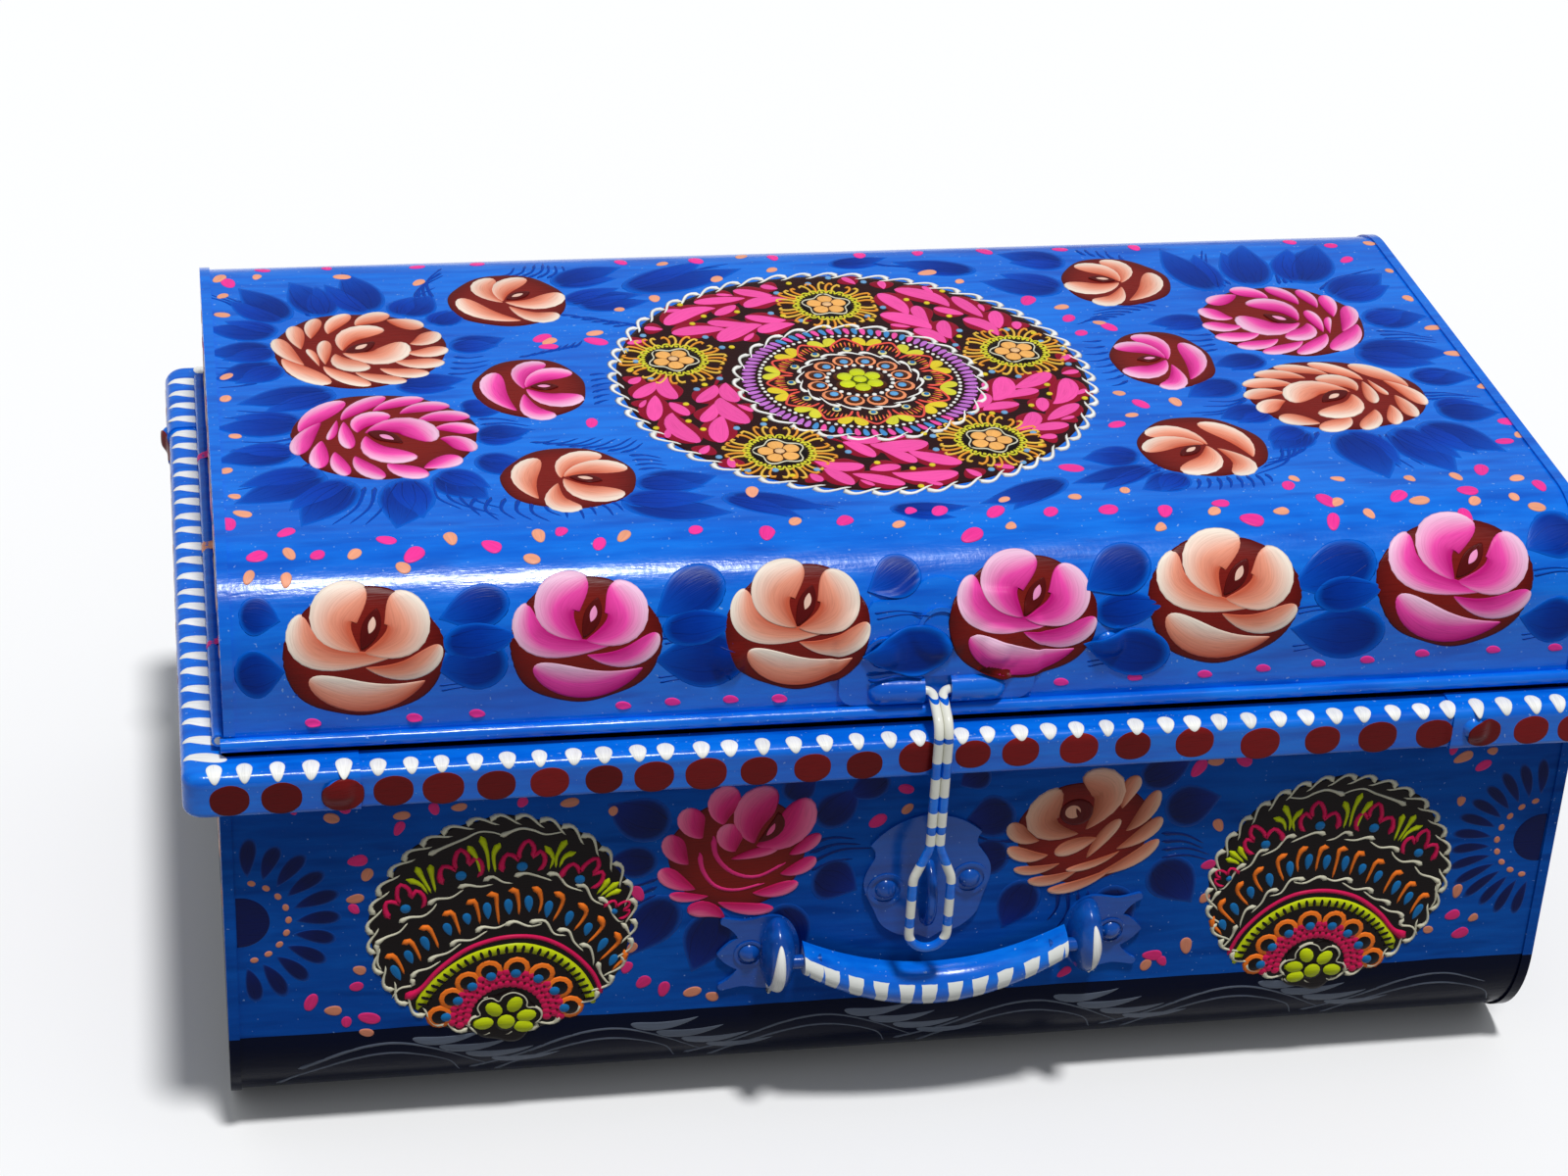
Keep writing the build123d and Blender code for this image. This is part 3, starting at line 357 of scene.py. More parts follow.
class Coat:
    """Strokes of paint on one flat, unrolled sheet, in millimetres."""

    def __init__(self):
        self.places, self.tints, self.grain, self.faces, self.count = [], [], [], [], 0

    def keep(self, flat, level, tint, grain, faces):
        """Add one stroke: its corners and their heights, its colour and its brush grain."""
        self.places.append(np.column_stack([flat, level]))
        self.tints.append(np.broadcast_to(tint, (len(flat), 4)))
        self.grain.append(grain)
        self.faces += [[corner + self.count for corner in face] for face in faces]
        self.count += len(flat)

    def dab(self, line, width, tint, outline=petal_outline, base=0.1, rise=0.14, light=None,
            fine=0, soft=None):
        """A fat stroke from tail to head; a tint of three colours pales away from light,
        and a soft one fades into the colour of its ground at the edge."""
        blank, faces = DAB_BLANKS[fine]
        share = (blank[:, 0] + 1) / 2
        edge = np.sqrt(np.maximum(1 - blank[:, 0] ** 2, 1e-6))
        aside = np.clip(blank[:, 1] / edge, -1, 1)
        middle, way = bezier(line, share)
        flat = middle + sideways(way) * (aside * outline(share) * width)[:, None]
        if isinstance(tint, tuple):
            dark, mid, pale = tint
            blend = share
            if light is not None:
                spine, way = bezier(line, np.array([0.5]))
                lean = np.sign(np.dot(spine[0] - np.array(light), sideways(way)[0])) or 1
                blend = np.clip(0.42 + 0.5 * aside * lean + 0.5 * (share - 0.4), 0, 1)
            low = np.clip(blend * 2, 0, 1)[:, None]
            high = np.clip(blend * 2 - 1, 0, 1)[:, None]
            tint = dark + (mid - dark) * low + (pale - mid) * high
        tint = tint * varied(0.93, 1.05)
        if soft is not None:
            fade = np.clip((np.linalg.norm(blank[:, :2], axis=1) - 0.72) / 0.21, 0, 1)
            tint = tint + (soft - tint) * fade[:, None] ** 2
        grain = np.stack([share * math.dist(line[0], line[-1]), aside * width + grain_start()], 1)
        self.keep(flat, stroke_level(blank, base, rise), tint, grain, faces)

    def dot(self, centre, radius, tint, base=0.1, rise=0.25, squash=1.0, turn=0.0):
        """A small round or oval dot."""
        blank, faces = DOT_BLANK
        x, y = swung(blank[:, 0] * radius, blank[:, 1] * radius * squash, turn)
        flat = np.stack([centre[0] + x, centre[1] + y], 1)
        tint = tint * varied(0.9, 1.06)
        self.keep(flat, stroke_level(blank, base, rise), tint, flat + grain_start(), faces)

    def disc(self, centre, reach, tint, base=0.08, rim_tint=None, fine=0):
        """A flat ground of paint; reach is its radius, or gives one for every direction."""
        blank, faces = DISC_BLANKS[fine]
        radius = np.linalg.norm(blank[:, :2], axis=1)
        angle = np.arctan2(blank[:, 1], blank[:, 0])
        far = radius * np.array([reach(a) if callable(reach) else reach for a in angle])
        flat = np.stack([centre[0] + far * np.cos(angle), centre[1] + far * np.sin(angle)], 1)
        if rim_tint is not None:
            tint = tint + (rim_tint - tint) * np.clip(radius * 2 - 1, 0, 1)[:, None] ** 2
        self.keep(flat, stroke_level(blank, base, 0), tint, flat + grain_start(), faces)

    def trail(self, points, width, tint, rise=0.4, base=0.1, tail=0.55, bulb=0.35, soft=None):
        """A thin line through the points, raised in the middle, with a bulb where it starts."""
        rough = np.sum(np.linalg.norm(np.diff(np.array(points, float), axis=0), axis=1))
        longest = max(TRAIL_BLANKS)
        rows = next((n for n in TRAIL_BLANKS if n * max(width, 0.7) * 0.8 >= rough), longest)
        blank, faces = TRAIL_BLANKS[rows]
        pick = np.rint((blank[:, 0] + 0.5) * (rows - 1)).astype(int)
        row = pick / (rows - 1)
        line, length = smooth_line(points, np.linspace(0, 1, rows))
        ways = np.gradient(line, axis=0)
        ways /= np.maximum(np.linalg.norm(ways, axis=1, keepdims=True), 1e-6)
        half = 1 + (tail - 1) * row + bulb * np.exp(-((row * length / width - 0.8) ** 2))
        near = np.minimum(row, 1 - row) * length
        cap = np.sqrt(np.clip(1 - (1 - np.minimum(near / max(width / 2, 0.1), 1)) ** 2, 0.08, 1))
        half = half * cap * width / 2
        crown = blank[:, 2] > 0
        aside = np.where(crown, 0, np.sign(blank[:, 1])) * half
        flat = line[pick] + sideways(ways[pick]) * aside[:, None]
        level = np.where(crown, base + rise * np.minimum(half / (width / 2), 1.25), TRAIL_FOOT)
        tint = tint * varied(0.94, 1.04)
        if soft is not None:
            tint = np.where(crown[:, None], tint, soft)
        self.keep(flat, level, tint, np.stack([row * length, aside + grain_start()], 1), faces)


# ---- laying a coat on the metal ----
# How far down the metal is felt for, as a share of the height from where it is felt.
FEEL = 1.4


def metal(*nodes):
    """The faces of CAD nodes, as one surface to lay paint on."""
    corners, faces = [], []
    for name in nodes:
        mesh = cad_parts[name].data
        start = len(corners)
        corners += [corner.co.copy() for corner in mesh.vertices]
        faces += [[start + corner for corner in face.vertices] for face in mesh.polygons]
    return BVHTree.FromPolygons(corners, faces)


def felt(surface, places, outwards, reach):
    """How far the metal stands out from each place of a sheet, in metres. It is felt for from
    a reach outside the sheet to a little inside."""
    heights = []
    for place, outward in zip(places, outwards):
        place, way = Vector(place), Vector(outward)
        hit = surface.ray_cast(place + way * reach, -way, reach * FEEL)[0]
        heights.append(0 if hit is None else (hit - place).dot(way))
    return np.array(heights)


def draped(flat, sheet, surface, reach, cell=0.8, swell=2):
    """Heights of the metal under a sheet's places, smoothed as thick paint fills every step:
    felt on a grid of cells, swollen by a few of them, blurred twice, and read in between."""
    margin = 4 * cell
    low = flat.min(0) - margin
    counts = np.ceil((flat.max(0) + margin - low) / cell).astype(int) + 1
    across, up = np.meshgrid(*(low[k] + cell * np.arange(counts[k]) for k in (0, 1)), indexing="ij")
    places, outwards = sheet(across.ravel(), up.ravel())
    field = felt(surface, places * MM, outwards, reach).reshape(counts)
    for axis in (0, 1):
        steps = range(-swell, swell + 1)
        field = np.maximum.reduce([np.roll(field, step, axis) for step in steps])
    for axis in (0, 1, 0, 1):
        field = (np.roll(field, 1, axis) + field * 2 + np.roll(field, -1, axis)) / 4
    spot = (flat - low) / cell
    whole = np.floor(spot).astype(int)
    part = spot - whole
    below, above = (field[whole[:, 0], whole[:, 1] + k] * (1 - part[:, 0])
                    + field[whole[:, 0] + 1, whole[:, 1] + k] * part[:, 0] for k in (0, 1))
    return below + (above - below) * part[:, 1]


def lay(name, coat, sheet, surface, body, drape=False, reach=0.012):
    """Lay a coat on the metal as one piece that rides on a body. A draped coat bridges the
    steps of rivets and plates, so that no edge of the metal cuts through it."""
    flat = np.vstack(coat.places)
    places, outwards = sheet(flat[:, 0], flat[:, 1])
    places *= MM
    if drape:
        heights = draped(flat[:, :2], sheet, surface, reach)
    else:
        heights = felt(surface, places, outwards, reach)
    corners = places + outwards * (heights + flat[:, 2] * MM)[:, None]
    mesh = bpy.data.meshes.new(name)
    mesh.from_pydata(corners.tolist(), [], coat.faces)
    tint = mesh.color_attributes.new(name="tint", type="FLOAT_COLOR", domain="POINT")
    tint.data.foreach_set("color", np.vstack(coat.tints).ravel())
    brush = mesh.uv_layers.new(name="brush")
    order = np.zeros(len(mesh.loops), int)
    mesh.loops.foreach_get("vertex_index", order)
    brush.data.foreach_set("uv", np.vstack(coat.grain)[order].ravel())
    mesh.shade_smooth()
    mesh.materials.append(strokes)
    piece = bpy.data.objects.new(name, mesh)
    bpy.context.collection.objects.link(piece)
    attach(piece, body)


# ---- finishes: socket maths written the plain way ----
class Wire:
    """A socket of a finish, on which sums can be written, from either side of the sign."""

    def __init__(self, finish, socket):
        self.finish, self.socket = finish, socket

    def sum_of(self, operation, first, second=0.0):
        settings = {"operation": operation}
        return self.finish.node("ShaderNodeMath", settings, {0: first, 1: second})

    def __add__(self, other):
        return self.sum_of("ADD", self, other)

    def __sub__(self, other):
        return self.sum_of("SUBTRACT", self, other)

    def __rsub__(self, other):
        return self.sum_of("SUBTRACT", other, self)

    def __mul__(self, other):
        return self.sum_of("MULTIPLY", self, other)

    def __lt__(self, other):
        return self.sum_of("LESS_THAN", self, other)

    __radd__ = __add__
    __rmul__ = __mul__

    def size(self):
        return self.sum_of("ABSOLUTE", self)

    def between(self, low, high):
        """1 past high and 0 before low, with a soft step from one to the other."""
        settings = {"interpolation_type": "SMOOTHSTEP"}
        return self.finish.node("ShaderNodeMapRange", settings, {0: self, 1: low, 2: high})


class Finish:
    """A material made of nodes."""

    def __init__(self, name):
        self.material = bpy.data.materials.new(name)
        self.material.use_nodes = True
        self.tree = self.material.node_tree
        self.tree.nodes.clear()

    def node(self, kind, settings=None, sockets=None, out=0):
        """Any node, with its settings, the values or links of its sockets, and one output."""
        made = self.tree.nodes.new(kind)
        for key, value in (settings or {}).items():
            setattr(made, key, value)
        for key, value in (sockets or {}).items():
            if isinstance(value, Wire):
                self.tree.links.new(value.socket, made.inputs[key])
            else:
                made.inputs[key].default_value = value
        return Wire(self, made.outputs[out])

    def place(self):
        """Object coordinates."""
        return self.node("ShaderNodeTexCoord", out="Object")

    def axis(self, name):
        """One axis of the object coordinates."""
        return self.node("ShaderNodeSeparateXYZ", None, {0: self.place()}, out=name)

    def stretched(self, vector, scale):
        """Coordinates scaled along each axis."""
        return self.node("ShaderNodeMapping", None, {"Vector": vector, "Scale": scale})

    def noise(self, vector, scale, detail=2.0, roughness=0.5):
        sockets = {"Vector": vector, "Scale": scale, "Detail": detail, "Roughness": roughness}
        return self.node("ShaderNodeTexNoise", None, sockets)

    def blend(self, share, first, second):
        """One colour turning into another."""
        sockets = {0: share, 6: first, 7: second}
        return self.node("ShaderNodeMix", {"data_type": "RGBA"}, sockets, out=2)

    def bump(self, height, distance, strength=1.0):
        sockets = {"Height": height, "Distance": distance, "Strength": strength}
        return self.node("ShaderNodeBump", None, sockets)

    def shell(self, **sockets):
        """The Principled shader, as the finish's surface."""
        names = {"colour": "Base Color", "roughness": "Roughness", "metal": "Metallic",
                 "normal": "Normal", "gloss": "Specular IOR Level"}
        values = {names[key]: value for key, value in sockets.items()}
        return self.surface(self.node("ShaderNodeBsdfPrincipled", None, values))

    def surface(self, shader):
        """End the material in a shader."""
        output = self.tree.nodes.new("ShaderNodeOutputMaterial")
        self.tree.links.new(shader.socket, output.inputs["Surface"])
        return self.material


def enamel(name, blues, mark=None, gloss=0.28):
    """Blue enamel brushed on by hand; mark gives a mask and the colour painted over it."""
    finish = Finish(name)
    place = finish.place()
    streaks = finish.noise(finish.stretched(place, (9, 70, 70)), 4.0, 4.0, 0.62)
    clouds = finish.noise(place, 14.0)
    cover = (streaks * 0.6 + clouds * 0.5).between(0.4, 0.72)
    colour = finish.blend(cover, blues[1], blues[2])
    thin = finish.noise(finish.stretched(place, (6, 34, 34)), 5.0).between(0.5, 0.74)
    colour = finish.blend(thin * 0.6, colour, blues[0])
    dust = finish.noise(place, 760.0, 1.0).between(0.735, 0.76)
    colour = finish.blend(dust * 0.45, colour, DUST)
    if mark is not None:
        mask, over = mark(finish, streaks)
        colour = finish.blend(mask, colour, over)
    peel = finish.noise(place, 520.0)
    dents = finish.bump(finish.noise(place, 18.0, 2.0, 0.4), 0.0012)
    sockets = {"Height": streaks * 0.6 + peel * 0.2, "Distance": 0.0002, "Normal": dents}
    normal = finish.node("ShaderNodeBump", None, sockets)
    return finish.shell(colour=colour, roughness=streaks * 0.18 + 0.1, normal=normal, gloss=gloss)


def below(height, tint):
    """Paint everything under a height, in metres, with a slightly uneven edge."""
    def mark(finish, streaks):
        edge = finish.noise(finish.place(), 30.0) * 0.0016 + (height - 0.0008)
        return finish.axis("Z") < edge, tint
    return mark


def stroke_paint(name):
    """Thick enamel strokes: the colour that each stroke was laid with, streaked by the brush."""
    finish = Finish(name)
    tint = finish.node("ShaderNodeAttribute", {"attribute_name": "tint"}, out="Color")
    brush = finish.node("ShaderNodeUVMap", {"uv_map": "brush"})
    streaks = finish.noise(finish.stretched(brush, (0.12, 1.6, 1.0)), 1.1)
    dim = finish.node("ShaderNodeVectorMath", {"operation": "SCALE"}, {0: tint, "Scale": 0.84})
    colour = finish.blend(streaks.between(0.22, 0.66), dim, tint)
    normal = finish.bump(streaks, 0.00014, 0.45)
    return finish.shell(colour=colour, roughness=streaks * 0.2 + 0.2, normal=normal, gloss=0.08)


# ---- roses ----
# Each petal: tail, middle, head and half width, negative where its pale side faces the heart.
# Each stroke of the eye: tail, middle, head, half width and tone. A rose is one unit in radius.
OPEN_ROSE = [
    ((0.46, 0), (-0.98, -0.26), (-0.72, 0.62), 0.215),
    ((0, -0.18), (0.66, -0.46), (0.93, 0.12), 0.17),
    ((0.76, -0.42), (0.06, -0.98), (-0.68, -0.3), -0.245),
    ((-0.02, 0.03), (-0.75, 0.55), (0.08, 0.95), 0.33),
    ((-0.02, 0.03), (0.85, 0.12), (0.36, 0.88), 0.31),
]
OPEN_EYE = [
    ((-0.03, 0.08), (0.12, 0.4), (0.18, 0.66), 0.12, "dark"),
    ((0.07, 0.3), (0.12, 0.42), (0.13, 0.54), 0.05, "pale"),
]
SIDE_ROSE = [
    ((-0.29, -0.75), (-0.85, -0.1), (-0.52, 0.58), 0.22),
    ((-0.1, -0.05), (-0.25, 0.75), (0.4, 0.78), 0.22),
    ((-0.12, -0.15), (-0.2, -1.05), (0.35, -0.85), 0.2),
    ((-0.08, 0), (0.15, 0.6), (0.82, 0.42), 0.22),
    ((-0.08, 0), (0.3, -0.68), (0.88, -0.28), 0.25),
]
SIDE_EYE = [
    ((0, 0.03), (0.25, 0.02), (0.5, 0), 0.12, "dark"),
    ((0.12, 0.03), (0.24, 0.02), (0.36, 0.01), 0.05, "pale"),
]
FULL_ROSE = [
    ((-0.87, 0.14), (-0.74, 0.52), (-0.34, 0.86), 0.15),
    ((-0.42, 0.38), (-0.28, 0.7), (0.1, 0.93), 0.12),
    ((-0.08, 0.57), (0.14, 0.8), (0.5, 0.84), 0.11),
    ((0.2, 0.49), (0.42, 0.7), (0.76, 0.64), 0.12),
    ((0.37, 0.3), (0.62, 0.48), (0.95, 0.36), 0.13),
    ((0.53, 0.1), (0.78, 0.2), (1, 0), 0.13),
    ((0.58, -0.12), (0.8, -0.14), (0.9, -0.44), 0.14),
    ((0.36, -0.78), (0.58, -0.66), (0.78, -0.56), 0.14),
    ((0, -0.64), (0.12, -0.86), (0.42, -0.92), 0.14),
    ((-0.32, -0.44), (-0.28, -0.75), (-0.04, -0.97), 0.12),
    ((-0.52, -0.33), (-0.52, -0.62), (-0.42, -0.88), 0.1),
    ((-0.64, -0.06), (-0.7, -0.4), (-0.7, -0.7), 0.11),
    ((-0.62, 0.36), (-0.88, 0), (-0.9, -0.38), 0.12),
    ((-0.46, 0.4), (-0.5, 0.1), (-0.58, -0.06), 0.05),
    ((-0.39, 0.36), (-0.4, 0), (-0.36, -0.28), 0.09),
    ((-0.26, 0.08), (-0.28, 0.44), (0.12, 0.46), 0.15),
    ((-0.18, 0.02), (-0.2, -0.56), (0.34, -0.5), 0.17),
    ((-0.2, 0.06), (0.34, 0.48), (0.5, -0.2), 0.21),
]
FULL_EYE = [
    ((-0.16, 0.08), (0, 0.02), (0.2, -0.2), 0.11, "dark"),
    ((-0.04, 0), (0.02, -0.04), (0.11, -0.13), 0.045, "pale"),
]
# The two roses on the body: curled petals round a cup, on a ground that hardly shows.
CURLED_ROSE = [
    ((-0.18, 0.44), (-0.31, 0.77), (-0.03, 0.97), 0.17),
    ((-0.43, 0.26), (-0.62, 0.45), (-0.59, 0.74), 0.14),
    ((-0.59, -0.13), (-0.8, 0.06), (-0.82, 0.35), 0.12),
    ((-0.49, -0.52), (-0.8, -0.39), (-0.93, -0.17), 0.105),
    ((-0.33, -0.63), (-0.61, -0.66), (-0.82, -0.58), 0.06),
    ((-0.12, -1), (-0.35, -0.74), (-0.59, -0.87), 0.1),
    ((-0.23, -0.73), (0.07, -0.9), (0.48, -0.89), 0.075),
    ((0.19, -0.62), (0.48, -0.65), (0.76, -0.5), 0.085),
    ((0.52, -0.35), (0.76, -0.32), (0.96, -0.13), 0.085),
    ((0.62, -0.06), (0.81, 0.03), (1, 0.23), 0.08),
    ((-0.03, 0.03), (-0.15, 0.2), (-0.08, 0.47), 0.14),
    ((-0.09, -0.08), (0.2, 0), (0.5, 0.05), 0.06),
    ((0.2, 0.13), (-0.03, 0.61), (0.44, 0.94), 0.2),
    ((0.2, 0.11), (0.72, 0.13), (0.79, 0.81), 0.19),
]
CURLED_EYE = [
    ((0.23, 0.16), (0.55, 0.35), (0.46, 0.61), 0.1, "dark"),
    ((0.33, 0.26), (0.4, 0.33), (0.43, 0.45), 0.035, "pale"),
]
CRESCENTS = [
    ([(-0.31, 0.29), (-0.26, -0.03), (-0.05, -0.29), (0.25, -0.37), (0.59, -0.18)], 2.9),
    ([(-0.47, 0.05), (-0.42, -0.23), (-0.26, -0.48), (0, -0.56), (0.34, -0.48)], 2.6),
]
SPREAD_ROSE = [
    ((0.44, 0.34), (0.48, 0.68), (0.62, 0.87), 0.1),
    ((0.51, -0.03), (0.78, 0.19), (0.88, 0.63), 0.1),
    ((0.41, -0.32), (0.8, -0.13), (0.96, 0.18), 0.095),
    ((0.19, -0.73), (0.68, -0.58), (0.96, -0.19), 0.09),
    ((0.05, -0.45), (0.22, -0.1), (0.45, 0.19), 0.08),
    ((0.17, -0.1), (-0.08, -0.19), (-0.36, -0.34), 0.1),
    ((-0.55, -0.1), (-0.85, -0.06), (-0.92, 0.23), 0.11),
    ((-0.42, -0.34), (-0.7, -0.42), (-0.95, -0.19), 0.09),
    ((-0.26, -0.49), (-0.58, -0.65), (-0.85, -0.55), 0.06),
    ((-0.02, -0.61), (-0.35, -0.84), (-0.66, -0.76), 0.07),
    ((0.48, -0.34), (0.18, -0.58), (-0.2, -0.62), 0.05),
    ((0.43, -0.61), (-0.02, -0.97), (-0.4, -0.94), 0.07),
    ((-0.05, -0.02), (-0.88, 0), (-0.33, 0.74), 0.19),
    ((-0.01, 0.02), (0.58, 0.77), (-0.1, 0.9), 0.2),
]
SPREAD_EYE = [
    ((-0.125, 0.12), (-0.125, 0.34), (-0.125, 0.56), 0.225, "dark"),
    ((-0.175, 0.24), (-0.175, 0.355), (-0.175, 0.47), 0.11, "pale"),
    ((-0.05, 0.2), (-0.1, 0.31), (-0.14, 0.42), 0.03, "dark"),
]
OPEN, SIDE, FULL = (OPEN_ROSE, OPEN_EYE), (SIDE_ROSE, SIDE_EYE), (FULL_ROSE, FULL_EYE)
CURLED, SPREAD = (CURLED_ROSE, CURLED_EYE), (SPREAD_ROSE, SPREAD_EYE)
MIRRORED = [[(*[(x, -y) for x, y in stroke[:3]], *stroke[3:]) for stroke in half] for half in FULL]


def rose(coat, centre, radii, turn, palette, kind, flip=False, fine=0, ground=1.0, crescents=(),
         plump=1.0, pile=0.014):
    """A rose on its maroon ground, with its petals piled one over the other."""
    def spot(point):
        x, y = swung(-point[0] if flip else point[0], point[1], turn)
        return centre[0] + radii[0] * x, centre[1] + radii[1] * y

    phase = random.uniform(0, 6)

    def reach(a):
        oval = 1 / math.hypot(math.cos(a) / radii[0], math.sin(a) / radii[1])
        return ground * oval * (0.985 + 0.02 * math.sin(3 * a + phase) + 0.012 * math.sin(7 * a))

    coat.disc(centre, reach, MAROON, base=0.14, rim_tint=DARK_MAROON, fine=fine // 2)
    size = sum(radii) / 2
    petals, eye = kind
    for order, (*line, width) in enumerate(petals):
        line = [spot(point) for point in line]
        light = centre if width > 0 else [2 * line[1][k] - centre[k] for k in (0, 1)]
        coat.dab(line, plump * abs(width) * size, palette, base=0.18 + pile * order, light=light,
                 fine=fine)
    for points, width in crescents:
        coat.trail([spot(point) for point in points], width, palette[1], rise=0.15, base=0.3,
                   tail=0.6, bulb=0.1)
    for order, (*line, width, tone) in enumerate(eye):
        tint = DARK_MAROON if tone == "dark" else 0.5 * (palette[1] + palette[2])
        broad = width > 0.1 and len(eye) > 2
        coat.dab([spot(point) for point in line], width * size, tint,
                 outline=round_outline if broad else pointed_outline,
                 base=0.43 + 5 * pile + 0.05 * order, rise=0.05, fine=fine)


def leaf(coat, root, tip, width, palette=LEAF, shade=1.0, base=0.03, soft=LID_GROUND, fine=0):
    """A broad leaf stroke, darkest at its round root, bowed to one side, with two ribs."""
    dark, mid, pale = palette
    line = bowed(root, tip, random.uniform(-0.1, 0.1))[::-1]
    coat.dab(line, 1.22 * width, (pale, mid * shade, dark * shade), outline=petal(0.6, 1.1),
             base=base + random.uniform(0, 0.02), rise=0.05, soft=soft, fine=fine)
    run, climb = tip[0] - root[0], tip[1] - root[1]
    slim = width / math.hypot(run, climb)
    for side in (-slim, slim):
        rib = [(root[0] + along * run - side * aside * climb,
                root[1] + along * climb + side * aside * run)
               for along, aside in ((0.12, 0.3), (0.45, 0.55), (0.8, 0.3))]
        coat.trail(rib, 1.3, dark * 0.8, rise=0.05, base=base + 0.06, tail=0.4, bulb=0)


COMB_FAN = 4


def comb(coat, start, step, way, count, length, bow, tint, width=2.3, soft=LID_GROUND):
    """A row of thin curved strokes side by side, fanned out and longest in the middle."""
    for order in range(count):
        reach = length * (0.72 + 0.28 * math.sin(math.pi * (order + 0.5) / count))
        root = (start[0] + step[0] * order, start[1] + step[1] * order)
        tip = polar(root, reach * random.uniform(0.85, 1.1), way + COMB_FAN * (order - count / 2))
        coat.trail(bowed(root, tip, bow), width, tint, rise=0.06, base=0.04, tail=0.45, bulb=0.15,
                   soft=soft)


def scrolls(coat, centre, radius, count, lift, width, tint, base=0.1, way=-1):
    """A ring of overlapping commas: each starts with a bulb and tucks its tail under the next."""
    shape = ((0.0, -0.55), (0.12, 0.25), (0.42, 0.5), (0.75, -0.15), (1.05, -0.9), (1.3, -1.2))
    pitch = 360 / count
    for order in range(count):
        at = pitch * (order + random.uniform(-0.05, 0.05))
        points = about(centre, at, *((radius + lift * rise, way * pitch * along)
                                     for along, rise in shape))
        coat.trail(points, width, tint, rise=0.42, base=base, tail=0.5, bulb=0.6)


def dot_ring(coat, centre, far, count, start, radius, tint, base, rise):
    """Round dots, evenly spread on a circle."""
    for k in range(count):
        coat.dot(polar(centre, far, start + 360 / count * k), radius, tint, base=base, rise=rise)


# ---- the round ornament on the lid's top ----
def sun_flower(coat, centre, turn):
    """A small sun: a five-petalled flower, a beaded ring and curling rays."""
    for group in range(6):
        for k in range(5):
            at = turn + 60 * group + 9.6 * (k - 2)
            far = 19.4 - 0.7 * abs(k - 2)
            curl = 1 if k > 2 else -1
            points = about(centre, at, (far - 1.2, 7.5 * curl), (far, 4.5 * curl),
                           (far - 0.8, curl), (14.8, -1.5 * curl), (11, 0))
            coat.trail(points, 1.5, GOLD if (k + group) % 2 else SUN_RAY, rise=0.38, base=0.14,
                       tail=0.9, bulb=0.2)
    coat.disc(centre, 12.2, MANDALA_GROUND, base=0.18)
    for k in range(20):
        at = turn + 18 * k
        arch = about(centre, at, (9.8, -8.5), (11.8, -6), (12.4, 0), (11.8, 6), (9.8, 8.5))
        coat.trail(arch, 1.15, LACE, rise=0.3, base=0.2, tail=1.0, bulb=0)
        coat.dot(polar(centre, 10.6, at), 0.75, LACE, base=0.2, rise=0.3)
    coat.disc(centre, 9.6, BLACK, base=0.27)
    lobes = [polar(centre, 8.0 + 1.2 * math.cos(math.radians(5 * at)), turn + at)
             for at in range(0, 361, 12)]
    coat.trail(lobes, 1.1, CREAM, rise=0.3, base=0.28, tail=1.0, bulb=0)
    dot_ring(coat, centre, 4.5, 5, turn, 3.8, BROWN, 0.32, 0.03)
    for k in range(5):
        coat.dab(about(centre, turn + 72 * k, (1.4, 0), (7.6, 0)), 2.9, ORANGE_PETAL,
                 outline=petal(0.6, 0.6), base=0.38, rise=0.25)
    coat.dot(centre, 2.8, BROWN, base=0.56, rise=0.1)
    coat.dot(centre, 2.1, SUN_HEART, base=0.62, rise=0.2)


# Places between two suns are a share of the way from one to the next, and a distance from the
# middle. Each petal of a spray: tail, middle, head and half width.
SPRAY = [
    ((0.153, 65.4), (0.267, 70.5), (0.371, 65.2), 3.3),
    ((0.206, 69.8), (0.253, 71.9), (0.327, 79.9), 3),
    ((0.164, 74.8), (0.189, 76.4), (0.216, 79.3), 2),
    ((0.316, 71.9), (0.396, 74.3), (0.507, 79.7), 3),
    ((0.347, 75.9), (0.369, 77.8), (0.398, 79.8), 1.1),
    ((0.388, 68.9), (0.427, 67.7), (0.524, 66.8), 2.5),
    ((0.469, 70.6), (0.553, 78.2), (0.724, 75.6), 4),
    ((0.574, 78.2), (0.598, 80.1), (0.629, 82.2), 1.3),
    ((0.236, 45.4), (0.362, 48.6), (0.501, 46.4), 3.4),
    ((0.259, 49.9), (0.343, 50.1), (0.426, 60.1), 2.9),
    ((0.41, 50.3), (0.517, 55.3), (0.739, 53), 4.4),
    ((0.462, 54.5), (0.561, 58.2), (0.593, 65.6), 2.8),
    ((0.592, 56.3), (0.656, 63.7), (0.775, 70.8), 3.7),
    ((0.524, 47.6), (0.569, 46.6), (0.647, 46), 1.3),
    ((0.755, 74.7), (0.766, 78), (0.777, 81.5), 1.7),
    ((0.863, 76.7), (0.884, 79.4), (0.913, 82.4), 1.6),
]
SPRAY_YELLOW = [
    (0.563, 69.1), (0.649, 68.4), (0.426, 63.9), (0.255, 53.2), (0.762, 47.2), (0.11, 78.2),
    (0.552, 81.5),
]
SPRAY_BLUE = [
    (0.041, 76.8), (0.184, 71.4), (0.299, 56.7), (0.187, 47.2), (0.729, 58.9), (0.793, 50.1),
    (0.835, 79.1), (0.96, 81.5),
]


SPRAY_STEMS = [
    [(0.1, 66.5), (0.38, 71.25), (0.66, 73)], [(0.12, 46.5), (0.39, 52.75), (0.66, 56)],
]
SUNS = ((-0.6, 57.9), (-63.2, 17.7), (-37.2, -54.0), (36.3, -51.3), (60.3, 15.3))


